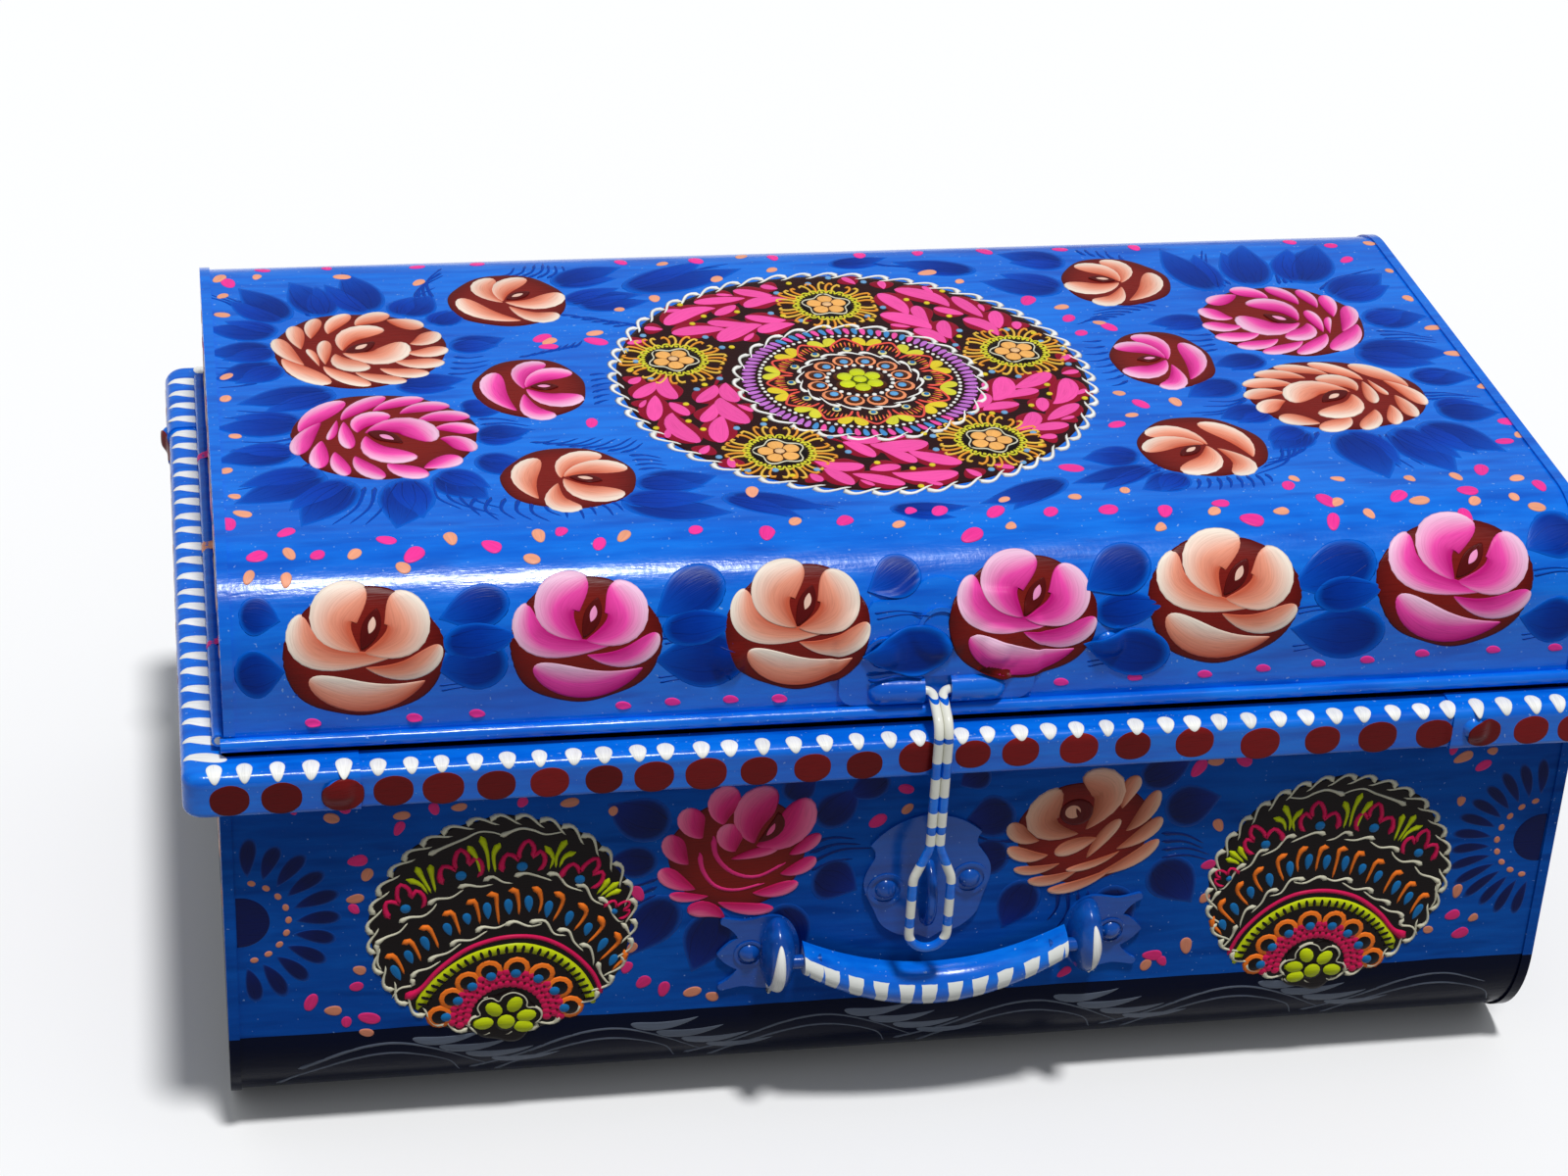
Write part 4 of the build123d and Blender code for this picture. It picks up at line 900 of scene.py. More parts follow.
def top_mandala(coat):
    """The big round ornament in the middle of the lid."""
    middle, core = (-1.8, -0.3), (0.0, -3.6)
    coat.disc(middle, 84.5, MANDALA_GROUND, base=0.06)
    angles = [math.degrees(math.atan2(up - middle[1], across - middle[0])) for across, up in SUNS]
    for order, at in enumerate(angles):
        sweep = (angles[(order + 1) % len(SUNS)] - at) % 360

        def spots(places):
            return [polar(middle, far, at + sweep * share) for share, far in places]

        for *line, width in SPRAY:
            coat.dab(spots(line), width + 3.2, CRIMSON, base=0.08, rise=0.02)
        for line in SPRAY_STEMS:
            coat.trail(spots(line), 3.4, CRIMSON, rise=0.04, base=0.08)
        for *line, width in SPRAY:
            coat.dab(spots(line), width, HOT_PINK, base=0.13, rise=0.1)
        for place in spots(SPRAY_YELLOW):
            coat.dot(place, 1.25, YELLOW, base=0.2, rise=0.3)
        for place in spots(SPRAY_BLUE):
            coat.dot(place, 1.35, SPRAY_DOT, base=0.2, rise=0.3)
    for order, sun in enumerate(SUNS):
        sun_flower(coat, sun, 90 + 40 * order)
    scrolls(coat, middle, 84.4, 56, 2.5, 2.2, WHITE, way=1)

    coat.disc(core, 43.5, MANDALA_GROUND, base=0.27)
    for k in range(84):
        at = 360 / 84 * k
        side = abs((at + 180) % 360 - 180)
        tint = LILAC if side < 48 or side > 128 else (HOT_PINK, SKY)[k % 2]
        coat.dab(about(core, at, (36.6, 0), (41.8, 1.5)), 1.15, tint, outline=petal(0.7, 0.5),
                 base=0.27, rise=0.25)
        coat.dot(polar(core, 35.3, at + 1.5), 0.8, WHITE, base=0.3, rise=0.25)
    scrolls(coat, core, 43.4, 27, 2.3, 2.0, WHITE, base=0.26, way=1)
    for k in range(12):
        for lean in (-8, 8):
            coat.dab(about(core, 30 * k + 15, (28, 0), (34.2, lean)), 2.4, (YELLOW, LACE)[k % 2],
                     base=0.28, rise=0.25)
    for at in range(0, 360, 30):
        arch = about(core, at, (23.6, -13), (27.6, -11.5), (30.6, -6), (33, -0.5), (30.6, 6),
                     (27.6, 11.5), (23.6, 13))
        coat.trail(arch, 1.7, CORAL, rise=0.35, base=0.28, tail=1.0, bulb=0)
        for step in range(-3, 4):
            top = 30.6 - 0.4 * abs(step) ** 1.3
            coat.trail(about(core, at, (top, 3.0 * step), (26.4, 3.1 * step)), 1.15,
                       GOLD if step % 2 else CORAL, rise=0.25, base=0.28)
        coat.dot(polar(core, 24.4, at), 1.9, STRAW, base=0.3)
        coat.dot(polar(core, 24.6, at), 1.15, DROP_BLUE, base=0.5)
    scrolls(coat, core, 21.6, 18, 1.2, 1.8, WHITE, base=0.28)
    dot_ring(coat, core, 15.8, 12, 12, 4.5, SCALLOP, 0.28, 0.12)
    for at in range(12, 372, 30):
        coat.dot(polar(core, 15.4, at), 3.5, BROWN, base=0.4, rise=0.03)
        coat.dot(polar(core, 14.9, at), 1.8, BEAD_BLUE, base=0.44, rise=0.25)
    dot_ring(coat, core, 11.6, 24, 0, 0.95, WHITE, 0.46, 0.2)
    dot_ring(coat, core, 6.4, 6, 30, 4.1, BROWN, 0.5, 0.02)
    dot_ring(coat, core, 5.7, 6, 30, 3.3, HEART_LIME, 0.58, 0.3)
    coat.dot(core, 3.9, OLIVE, base=0.76, rise=0.12)
    coat.dot(core, 2.9, HEART_LIME, base=0.9, rise=0.2)


# ---- the fans on the body's front, as strokes about the middle of a circle of 45.5 ----
FAN_HOOKS = [
    [(-39, -9.7), (-36.4, -9.1), (-34.2, -12.4), (-32.6, -16.8)],
    [(-33.3, -4.5), (-30.7, -3.6), (-28.5, -7.5), (-27, -11.8)],
    [(-27.6, 1.2), (-24.6, 1.4), (-22.4, -3.2), (-21.2, -7)],
    [(-20, 6.1), (-16.9, 7), (-15.2, 2.5), (-14, -2.1)],
    [(-12.1, 10), (-9.6, 11.1), (-8.2, 6.9), (-7.5, 1.9)],
    [(-5.4, 13), (-2.5, 13.2), (-1.9, 7.8), (-1.2, 1.1)],
    [(1.8, 14.4), (4.2, 14.2), (5.2, 9.8), (5.4, 4.6)],
    [(9.6, 15.3), (11.9, 13.5), (12.8, 9.1), (11.9, 4.6)],
    [(16.9, 12.8), (19.9, 10.4), (19.1, 6.1), (16.7, 1.1)],
    [(25, 7.8), (27.8, 4.6), (26.6, 0.8), (23.8, -3.2)],
    [(31.8, 2.1), (33.5, -1.6), (31.6, -5.1), (28.5, -8.6)],
    [(37.5, -4.9), (39.1, -8.6), (36.1, -12.6), (32.6, -16.3)],
    [(40.8, -12.4), (41.2, -15.9), (39, -18.2), (36.8, -20.9)],
]
FAN_DROPS = [
    [(-33.8, -19.4), (-36.7, -12.8)], [(-29.8, -12.8), (-32, -7.1)], [(-24.4, -8), (-26.6, -1.8)],
    [(-17.1, -2.3), (-19.1, 3)], [(-11.2, 1.7), (-12.3, 6.5)], [(-4.8, 3.4), (-5.4, 10.4)],
    [(2.2, 4.7), (1.6, 11.3)], [(8.8, 5.2), (8.4, 12.2)], [(14.5, 2.5), (15.6, 9.6)],
    [(21.1, -1.4), (22.8, 4.9)], [(27.6, -5.8), (29.1, -0.4)], [(31.8, -12.8), (34.9, -7.1)],
    [(36, -18.9), (38.2, -14.1)],
]
FAN_WAVES = [
   
    [(-24.4, 30.6), (-21.1, 32.4), (-16.7, 34.4), (-12.3, 36.3), (-7.9, 38.5), (-3.5, 38.1), (0,
     36.6)], [(-1, 36.4), (5.3, 38.9), (9.6, 38.1), (14, 36.1), (19.5, 36.7)],
    [(-34.2, 4.3), (-30.9, 6.1), (-26.3, 6.3), (-23.2, 8.7), (-21.8, 11.1)],
    [(-24.7, 10.7), (-21.9, 12.8), (-17.1, 13.1), (-13, 16)],
    [(-14.9, 16.8), (-11.8, 17.7), (-7.5, 16.8), (-3.3, 17.5)],
    [(-6.5, 18.9), (-3.5, 20.5), (0, 18.1), (3.2, 17.4)],
    [(3.7, 20.1), (7.2, 21.1), (11.2, 19.8), (16.2, 17.5)],
    [(14.4, 20.2), (18, 19.8), (21.2, 15.1), (26.5, 12.5)],
    [(24, 15.3), (27.4, 14.2), (29.8, 8.9), (33.7, 6.3)],
    [(31.6, 9.6), (34.6, 7.4), (36.8, 2.1), (38.8, -0.7), (40.5, -0.5)],
    [(-41.9, -3.2), (-41.2, -7.5), (-41.4, -11.9), (-39.9, -15)],
    [(-42.1, -4), (-38.6, -1.4), (-34.2, 0.4), (-31.4, 3.9)],
    [(39.5, -1.4), (41.2, -3.2), (43, -7.5)],
    [(-30.5, -18.9), (-28.5, -16.1), (-24.4, -15), (-20.6, -12.4)],
    [(-24.7, -12.4), (-22.4, -10.4), (-18, -9.1), (-13.7, -5.6)],
    [(-17.4, -6.7), (-15.1, -4.5), (-10.1, -4.5), (-5.1, -1.2)],
    [(-8.9, -1.6), (-6.6, 0.4), (-1.8, -0.2), (3.3, 2.5)],
    [(0.7, 0.4), (3.9, 1.9), (8.8, -0.4), (13.2, 0.5), (10.9, 1.4)],
    [(8.8, 1.2), (14, 1.4), (17.1, -4), (21.2, -5.1)],
    [(18.1, -2.7), (21.9, -3.2), (23.9, -8), (27.2, -12.1)],
    [(25.6, -9.1), (29.1, -10.4), (30.5, -15.3), (30.5, -18.2)],
    [(32, -16.8), (33.2, -22), (36, -26.1), (36.7, -23.2)],
    [(-30.5, -18.5), (-29.8, -21.6), (-34.2, -22.6), (-36.8, -26.4)],
]
FAN_ARC = [
    (-32.5, -27), (-27, -23.2), (-21.1, -15.9), (-12.3, -8.6), (-3.5, -5.1), (4.4, -4.2),
    (12.3, -5.4), (19.3, -9.1), (25.4, -14.6), (30.5, -21.6), (33.7, -29.9),
]
FAN_LIME = [
    (-28.4, -31.8), (-24.4, -24.2), (-16.7, -16.2), (-7.9, -11), (1.8, -8.9), (8.8, -9.3),
    (17.1, -13), (23.9, -19.1), (28.1, -26), (31, -33.9),
]
FAN_LOOPS = [
    (-4.4, -17.9), (4.8, -17.2), (13.2, -20.3), (19.3, -26.4), (23, -34.7), (-11.4, -22),
    (-16.7, -28.2), (-20.9, -35.4),
]
FAN_FLOWER = [
    (-11, -40.6), (-11.2, -38.4), (-9.8, -36.6), (-7.4, -35.6), (-8.3, -32.6), (-6.6, -29.6),
    (-3.6, -28.8), (-1.1, -30.4), (0.4, -28.2), (3.6, -27), (7, -28.6), (8.4, -31.1), (8.4, -33.4),
    (11.2, -33.8), (13.2, -36), (13, -38.6), (11, -40.6),
]
FAN_PETALS = [
    (-6.2, -39.2, 10), (-2.8, -33.6, -50), (4.2, -32, 62), (8.2, -36.9, 10), (7.2, -41.4, -10),
]
LOTUS = [
    (-6.3, -1.8), (-6.8, 1.2), (-5.3, 5), (-2.8, 4.4), (-1.1, 2.6), (-0.9, 6.1), (1.6, 10.2),
    (3.9, 7.2), (3.3, 3.5), (6, 5.6), (7.5, 2.8), (6.8, -0.5), (5.1, -2),
]
FAN_LOTUSES = [
    (-32, 9.7, 20, 0.95), (-13.8, 21.6, 12, 1), (6.3, 23.9, 0, 1), (25.4, 17.3, -24, 0.95),
    (37.2, 3.6, -42, 0.6),
]
FAN_SPRIGS = [
    [(-31.8, 21.4), (-27.2, 19.2), (-24.6, 15.1)], [(-28.5, 26.2), (-26.3, 21.4), (-23.5, 15.4)],
    [(-23.9, 26.8), (-23.2, 21.4), (-22.1, 15.7)], [(-11.6, 33.3), (-8.8, 28.4), (-7.2, 21.8)],
    [(-7.4, 36.8), (-5.3, 30.2), (-4.6, 22.6)], [(-1.1, 33.7), (-3.1, 29.3), (-2.5, 22.3)],
    [(13.6, 31.6), (16.5, 26.7), (15.4, 22.3)], [(20.7, 33.5), (17.7, 27.5), (17.4, 22.6)],
    [(23.9, 28.4), (20.2, 26.7), (18.6, 22.6)], [(35.1, 17.2), (33.8, 14.4), (31.1, 10.9)],
    [(38.4, 15.4), (35.1, 12.6), (32.3, 10)], [(39.3, 12.1), (36, 10.9), (33.8, 9.3)],
]


def fan(coat, middle, size=1.0, flip=1):
    """A black round with arches of ornament that spring from a flower at its foot."""
    def spot(place):
        return (middle[0] + flip * size * place[0], middle[1] + size * place[1])

    def draw(points, width, tint, **shape):
        coat.trail([spot(place) for place in points], width * size, tint, **shape)

    def outer(a):
        return 44.6 * size * (1 + 0.012 * math.sin(9 * a) + 0.008 * math.sin(17 * a))

    coat.disc(spot((0, 0)), outer, BLACK)
    root = (1.6, -37.0)
    scrolls(coat, spot((0, 0)), 43.6 * size, 34, 2.2, 1.75 * size, CREAM, way=-flip)
    for points in FAN_WAVES:
        draw(points, 1.6, CREAM, tail=0.5, bulb=0.6)
    for points in FAN_HOOKS:
        draw(points, 2.3, ORANGE, rise=0.5, tail=0.5, bulb=0.35)
    for tail, head in FAN_DROPS:
        coat.dab((spot(tail), spot(head)), 1.5 * size, DROP_BLUE, base=0.12, rise=0.4)
    for points in FAN_SPRIGS:
        draw(points, 2.3, LIME, rise=0.5, tail=0.5, bulb=0.35)
    for x, y, turn, scale in FAN_LOTUSES:
        points = [(x + scale * a, y + scale * b) for a, b in (swung(*at, turn) for at in LOTUS)]
        draw(points, 2.0 * scale + 0.1, MAGENTA, rise=0.5, tail=1.0, bulb=0.4)
        coat.dot(spot((x, y)), 2.0 * size * scale, DROP_BLUE, base=0.14, rise=0.45)
    draw(FAN_ARC, 2.4, MAGENTA, rise=0.5, tail=0.85, bulb=0.9)
    draw(FAN_LIME, 5.4, LIME, rise=0.25, tail=1.0, bulb=0)
    for place in smooth_line(FAN_LIME, np.linspace(0.03, 0.97, 28))[0]:
        away = (place - root) / math.dist(place, root)
        coat.dab((spot(place - away * 2.9), spot(place + away * 1.1)), 0.62 * size, BLACK,
                 base=0.42, rise=0.08)
    for radius, tint, base, rise in ((4.9, ORANGE, 0.3, 0.12), (3.4, BLACK, 0.46, 0.03)):
        for place in FAN_LOOPS:
            coat.dot(spot(place), radius * size, tint, base=base, rise=rise)
    for start, rows, count, lowest, radius, tint, base, rise in (
            (-4, ((13.6, 0), (16, 4.7), (18.2, 0)), 21, -42.5, 1.75, MAGENTA, 0.34, 0.1),
            (0.7, ((14.8, 0), (17.1, 4.7)), 20, -42.0, 0.55, BEAD_WINE, 0.52, 0.03)):
        for step in range(count):
            for place in about(root, start + 9.4 * step, *rows):
                if place[1] > lowest:
                    coat.dot(spot(place), radius * size, tint, base=base, rise=rise)
    for place in FAN_LOOPS:
        inward = (root - np.array(place)) / math.dist(place, root)
        coat.dot(spot(place + 2.0 * inward), 2.05 * size, DROP_BLUE, base=0.5, rise=0.35)
    coat.disc(spot((1.4, -37.2)), lambda a: (11.0 + 0.9 * math.cos(5 * a)) * size, BLACK, base=0.5)
    draw(FAN_FLOWER, 1.2, CREAM, rise=0.3, base=0.56, tail=1.0)
    for x, y, turn in FAN_PETALS:
        coat.dot(spot((x, y)), 3.9 * size, LIME, base=0.56, rise=0.35, squash=0.75,
                 turn=turn if flip > 0 else 180 - turn)
    for radius, tint, base, rise in ((4.6, BLACK, 0.7, 0.05), (3.6, LIME, 0.74, 0.3)):
        coat.dot(spot((1.3, -38.9)), radius * size, tint, base=base, rise=rise)


def half_daisy(coat, edge, height, side, petals, thickness):
    """Half a daisy whose middle lies on the end of a wall."""
    def spot(far, at):
        return polar((edge, height), far, at if side > 0 else 180 - at)

    for k in range(petals):
        at = -82 + 164 * k / (petals - 1)
        line = (spot(18, at - 2), spot(26, at + 2), spot(33.5 + random.uniform(-1, 1), at))
        coat.dab(line, thickness, (NAVY[1], NAVY[0], NAVY[0]), base=0.03, rise=0.05,
                 soft=BODY_GROUND)
    for k in range(9):
        at = -74 + 18.5 * k
        coat.dab((spot(15.8, at - 5), spot(16.2, at + 5)), 1.1, DULL_PEACH[1],
                 outline=round_outline, base=0.06)

    def heart(a):
        inward = side * math.cos(a)
        return 10.0 if inward > 0 else min(10.0, 1.0 / max(-inward, 0.1))

    coat.disc((edge, height), heart, NAVY[0], base=0.04)


def scatter(coat, dots, tint, size=2.2):
    """Loose dots, each a little different; some are pulled out into a short dash."""
    for place in dots:
        radius = size * random.uniform(0.8, 1.15)
        way = random.uniform(-35, 125)
        long = radius * random.uniform(1.0, 1.5)
        bend = [axis + random.uniform(-1, 1) for axis in place]
        coat.dab((polar(place, -long, way), bend, polar(place, long, way)), radius * 0.86, tint,
                 outline=petal(0.6, 0.45), base=0.12, rise=0.12)


LID_PINK_DOTS = [
    (-215.7, 92), (-203.4, 103.7), (-180, 103.7), (-146.8, 102.5), (-221.9, -87.9),
    (-203.7, -94.9), (-213.5, -106.5), (-194.2, -107.9), (-172.2, -101.4), (-164.2, -109),
    (-139.3, -106.5), (-116.7, -101.1), (-105.1, -107.5), (-73.2, -102.9), (-49.7, -106.2),
    (-24, -101.7), (-1.2, -97.8), (-70.8, 100.8), (-42.9, 100), (-13.8, 101), (-88.4, 34.8),
    (-107.3, 38.7), (-105.8, 31.2), (-98, -27.5), (19.6, 100.8), (42, 101.5), (68.4, 101.5),
    (97.8, 100.8), (127.5, 100.8), (189.9, 102.2), (204.6, 96.4), (206.2, 84.1), (221.7, -52.1),
    (215.5, -65.9), (200, -85.9), (130.1, -91.3), (8.3, -98.2), (26.8, -100), (45.2, -101.4),
    (64.9, -102.1), (83.3, -103.6), (103.3, -101.1), (140.1, -101.4), (165.2, -101.1),
    (190.1, -99.7), (215.9, -98.2), (17, -111), (112, -109.4), (139.9, -111.6), (75, 56.6),
    (86.2, 41), (88.1, 28.6), (99.7, 32.6), (95.2, -28.5), (83, -43.5), (59.4, -72.4),
    (-124.4, 104), (186, -112),
]
LID_PEACH_DOTS = [
    (-219.6, 96.4), (-205.5, 96.4), (-174.8, 94.2), (-147.3, 87.7), (-218.1, 80.8), (-219, 65.7),
    (-219, 16.7), (-219.7, 0), (-217.4, -27.8), (-221, -52.1), (-219, -69.5), (-216.8, -81.1),
    (-203.1, -106.2), (-183, -107.5), (-152.3, -102.4), (-123.4, -102.6), (-96.8, -104.6),
    (-40.3, -100.7), (-6.3, -104.8), (-56, 97.9), (-25, 104), (-16, 89.9), (-37.4, 82.9),
    (-62.8, 68.1), (-76.6, 59.4), (-88.1, 41.3), (-104.8, 35.5), (-50.5, -80.8), (220.3, 97.6),
    (220, 72.8), (219.3, 48.3), (220.3, 22.8), (220.7, 1.9), (222.5, -24.2), (222.2, -61.6),
    (189.4, -89.8), (173.2, -89.8), (148.1, -87.7), (133, -86.9), (73.5, -89.8), (55.5, -93),
    (31.6, -93), (100.3, -105), (122.8, -105.8), (142.8, -102.9), (152.6, -109.1), (171.7, -103.6),
    (190.9, -105.3), (210.1, -92.7), (211.6, -109.4), (30.4, -107.7), (80.4, -111), (42.3, 83),
    (53.2, 74.7), (86, 50.5), (97.1, 36.7), (89.4, -20.3), (107.7, -28), (89.9, -36.5),
    (-216, -115), (-205, -116.5), (-168, -114), (-127, -113), (205, -104),
]
# Leaves: root across and up, tip across and up, half width.
LID_LEAVES = [
    (-196.7, 58.6, -213, 88, 6.6), (-183.2, 61, -194.6, 92, 7.4), (-166.5, 63, -175, 99, 6.8),
    (-156, 60, -143, 77, 7), (-145, 52, -133, 64, 5), (-200, 49, -226, 56, 6.4),
    (-201, 36, -226, 35, 7), (-200, 24, -224, 14.5, 7), (-141, 33, -120, 40, 6.2),
    (-162, 5.5, -136, 9, 6), (-182, 1.5, -217, -5, 7), (-99, 82, -71, 96, 6.2),
    (-97, 67, -66, 72, 5.4), (-74, 77, -26, 92, 7.4), (-92, 64, -64, 67, 5),
    (-194, -19.5, -225, -21.5, 7.2), (-197, -41, -225, -46, 7.2), (-189, -56, -220, -75, 7.6),
    (-181, -62, -199, -92, 7.4), (-163, -61, -169, -96, 8.2), (-153, -59, -137, -79, 7.2),
    (-139, -49, -121, -63, 6.4), (-138, -35, -118, -31, 6), (-141, -13, -126, -16, 5.4),
    (-89, -72, -60, -68, 7.2), (-95, -82, -58, -94, 7.4), (-62, -83, -26, -94, 5.4),
    (148, 59, 136.5, 99, 7.2), (164, 62, 170, 101, 8.2), (181, 64, 199, 99, 8.6),
    (191, 50, 217, 71, 8.4), (196, 30, 222, 33, 8), (184, 6, 221, 2, 9.4),
    (198, -16, 222, -18, 6.6), (199, -40, 222, -45, 7.4), (189, -51, 214, -74, 8.2),
    (178, -54, 191, -88, 8.4), (160, -54, 166, -90, 8.8), (148, -52, 132, -66, 7),
    (139.5, -37, 120, -42, 6.4), (135, -15, 113, -25, 6.6), (150, 3, 129, -2, 5.6),
    (138, 35, 114, 34, 5.6), (97, 87, 72, 98, 7.2), (91, 66, 60, 75, 7.4), (62, 84, 30, 94, 5.6),
    (85, -67, 64, -67, 6.2), (97, -80, 79, -90, 6.2), (88, -74, 56, -84, 4.6),
    (56, -80, 22, -95, 5.6), (6, 93, 30, 98, 4), (-8, -95, 20, -96, 3.6),
]
# Combs of thin strokes: start, step, direction, number, length, bow.
LID_COMBS = [
    ((-118, 90), (3.6, -0.4), 64, 7, 15, -0.16), ((-153, 62), (2.4, 3), 72, 5, 30, 0.14),
    ((-99, 57), (3.6, -2.2), -16, 6, 17, 0.14), ((-117, 24), (3.2, 1), 42, 7, 9, -0.1),
    ((-140, 26), (-1, -4.4), 8, 4, 13, -0.12), ((-203, 60), (-3, 2.6), 128, 4, 26, -0.08),
    ((-188, 62), (3.4, 1.4), 112, 3, 30, 0.08), ((-206, 28), (-0.6, -4.2), 186, 5, 16, 0.06),
    ((-198, -10), (-0.4, -3.4), 184, 3, 22, 0.08), ((-196, -30), (-0.6, -3.4), 192, 3, 24, 0.1),
    ((-192, -48), (-1.2, -3), 212, 3, 28, 0.1), ((-180, -66), (3.2, -0.6), -112, 4, 30, 0.1),
    ((-154, -64), (3.4, -1.6), -62, 4, 24, -0.18), ((-141, -76), (4.4, -1), -78, 6, 16, -0.2),
    ((-116, -84), (4, 0.6), -60, 7, 12, 0.12), ((-120, -40), (4.2, -1.4), 26, 8, 15, -0.12),
    ((-136, -22), (0.6, -4), -4, 4, 17, 0.1), ((-94, 8), (-0.2, -4.4), 22, 6, 8, 0.08),
    ((-88, -52), (0.6, -3.4), -6, 4, 12, 0.1), ((150, 62), (2.6, 1.4), 92, 3, 34, 0.12),
    ((174, 64), (2.6, 0.4), 66, 3, 32, 0.16), ((188, 58), (2.6, -2.2), 42, 4, 30, 0.12),
    ((122, 49), (-3.4, -1.6), 186, 7, 17, -0.1), ((94, 22), (0.2, -4.6), 198, 8, 10, 0.1),
    ((136, -26), (-2.2, -2.4), 196, 4, 20, 0.12), ((152, -54), (-3.2, -1.4), -132, 6, 30, 0.18),
    ((97, -84), (3.4, 0.2), -94, 9, 9, 0.1), ((92, -72), (-1.4, -2.4), 196, 3, 24, 0.08),
    ((198, 22), (0.4, -3.2), -8, 4, 22, 0.08), ((198, -28), (0.2, -2.6), -4, 3, 20, 0.06),
    ((170, -58), (2.6, 0.2), -78, 3, 28, -0.1), ((136, 24), (-0.4, -4), 182, 4, 14, 0.1),
    ((120, 88), (-3.4, 1.6), 106, 5, 9, 0.1), ((-64, 84), (5, 1.4), 20, 4, 24, 0.06),
    ((-56, -86), (5, -1.2), -16, 4, 22, 0.06), ((30, 90), (6, -1), 164, 4, 22, 0.06),
]
LID_FRONT_LEAVES = [
    (-207, -130, -220, -127, 4.6), (-206, -146, -222, -148, 6.2), (-158, -131.6, -135, -126, 5.2),
    (-160, -147, -136, -145, 7.2), (-89, -134, -66, -122, 6.4), (-90, -148, -60, -149, 7.8),
    (-20, -129, -3, -120, 5.4), (-22, -150, 8, -149, 6.4), (52, -132, 75, -122, 6.4),
    (52, -150, 82, -157, 6.4), (122, -134, 152, -124, 6.8), (122, -148, 156, -151, 7.4),
    (204, -125, 224, -118, 6.4), (202, -148, 224, -150, 6.4),
]
BODY_LEAVES = [
    (-82, 118, -104, 129, 7.5), (-86, 104, -105, 105, 5.5), (-80, 90, -96, 66, 7.5),
    (-66, 84, -74, 58, 7.5), (-46, 84, -36, 62, 6.5), (-34, 96, -18, 88, 7.5),
    (-34, 116, -20, 130, 6), (-44, 126, -34, 136, 5), (34, 118, 16, 113, 7.5),
    (34, 100, 16, 95, 6.5), (42, 88, 33, 68, 6.5), (70, 84, 76, 60, 7), (84, 92, 100, 74, 7.5),
    (86, 112, 106, 118, 7.5), (76, 126, 94, 134, 6), (-10, 134, -24, 126, 5),
    (24, 134, 14, 128, 5),
]
BODY_COMBS = [
    ((-36, 108), (0.6, -3.6), 12, 4, 20, 0.1), ((36, 108), (-0.6, -3.4), 170, 4, 18, 0.1),
    ((-86, 98), (-0.4, -3.4), 196, 4, 18, 0.1), ((86, 104), (0.4, -3.4), -10, 4, 18, 0.1),
    ((-56, 80), (3.4, 0.4), -70, 4, 18, 0.12), ((52, 82), (3.4, 0), -96, 4, 16, 0.12),
]
FRONT_PINK_DOTS = [
    (-205, 134), (-189, 133), (-185, 112), (-171.5, 123.6), (-160, 130.5), (-186, 61), (-182, 48),
    (-201, 56), (-190, 47), (-131, 131), (-13, 116), (-4, 128), (-83, 52), (-90, 55.5), (88, 53),
    (96, 130), (112, 132), (186, 132), (198, 124), (57, 48), (104, 90), (196, 62), (200, 54),
    (206, 134), (-96, 62), (92, 50), (-93, 92), (-186, 93),
]
FRONT_PEACH_DOTS = [
    (-193, 129), (-181.5, 106), (-186, 97), (-170.5, 128.5), (-152, 131), (-116, 130), (-102, 126),
    (-185, 68), (-194, 52), (-183, 42), (-3, 120), (-66, 48), (-73, 50), (86, 49), (102, 132),
    (104, 76), (200, 130), (190, 128), (196, 72), (188, 56), (204, 60), (-94, 70), (100, 56),
    (192, 110), (106, 106),
]

strokes = stroke_paint("enamel_strokes")
lid_metal = metal("lid_wrap", "hasp_plate", "hasp_rivets")
wall_metal = metal("body_wrap")

# ---- lid ----
leaves = Coat()
for across, up, tip_across, tip_up, width in LID_LEAVES:
    for lean, share, shade in ((random.choice((-17, 17)), 0.82, 1.15), (0, 1.0, 0.9)):
        run, climb = swung(share * (tip_across - across), share * (tip_up - up), lean)
        leaf(leaves, (across, up), (across + run, up + climb), share * width,
             shade=shade * random.uniform(0.85, 1.0), base=0.05 - 0.02 * share)
for row in LID_COMBS:
    comb(leaves, *row, LEAF[1])
for across, up, tip_across, tip_up, width in LID_FRONT_LEAVES:
    over_plate = -75 < across < 60
    leaf(leaves, (tip_across, tip_up), (across, up), 1.15 * width, shade=0.8,
         base=0.5 if over_plate else 0.06, fine=2 if over_plate else 1)
    comb(leaves, (across + 2, up - 7), (0.6, -1.9), 2, 2, 18, 0.05, LEAF[0], width=1.0)
for across, up in ((-147, -139), (-77, -138), (65, -139), (140, -137)):
    leaf(leaves, (across - 10, up), (across + 15, up + 2), 5.2, shade=0.9, base=0.1, fine=1)
lay("lid_leaves", leaves, lid_sheet, lid_metal, "lid", drape=True)

roses = Coat()
for row in (((-172.6, 33.6), (31, 30), 0, PEACH, MIRRORED),
            ((-168.5, -31.5), (32, 31), 0, PINK, FULL),
            ((165.8, 32.7), (31, 29.5), 0, PINK, MIRRORED, True),
            ((166.7, -27.3), (33, 27), 0, PEACH, FULL, True),
            ((-116.6, 70.1), (22, 22), 35, PEACH, SIDE),
            ((-115.7, -0.3), (20, 23), 0, PINK, SIDE),
            ((-110, -66.3), (23, 21.6), -15, PEACH, SIDE),
            ((111.8, 70.4), (21, 21), -20, PEACH, SIDE, True),
            ((112.1, 5.1), (19, 23), 0, PINK, SIDE, True),
            ((108.2, -61.5), (23, 22), 35, PEACH, SIDE, True)):
    rose(roses, *row)
lay("lid_top_roses", roses, lid_sheet, lid_metal, "lid")

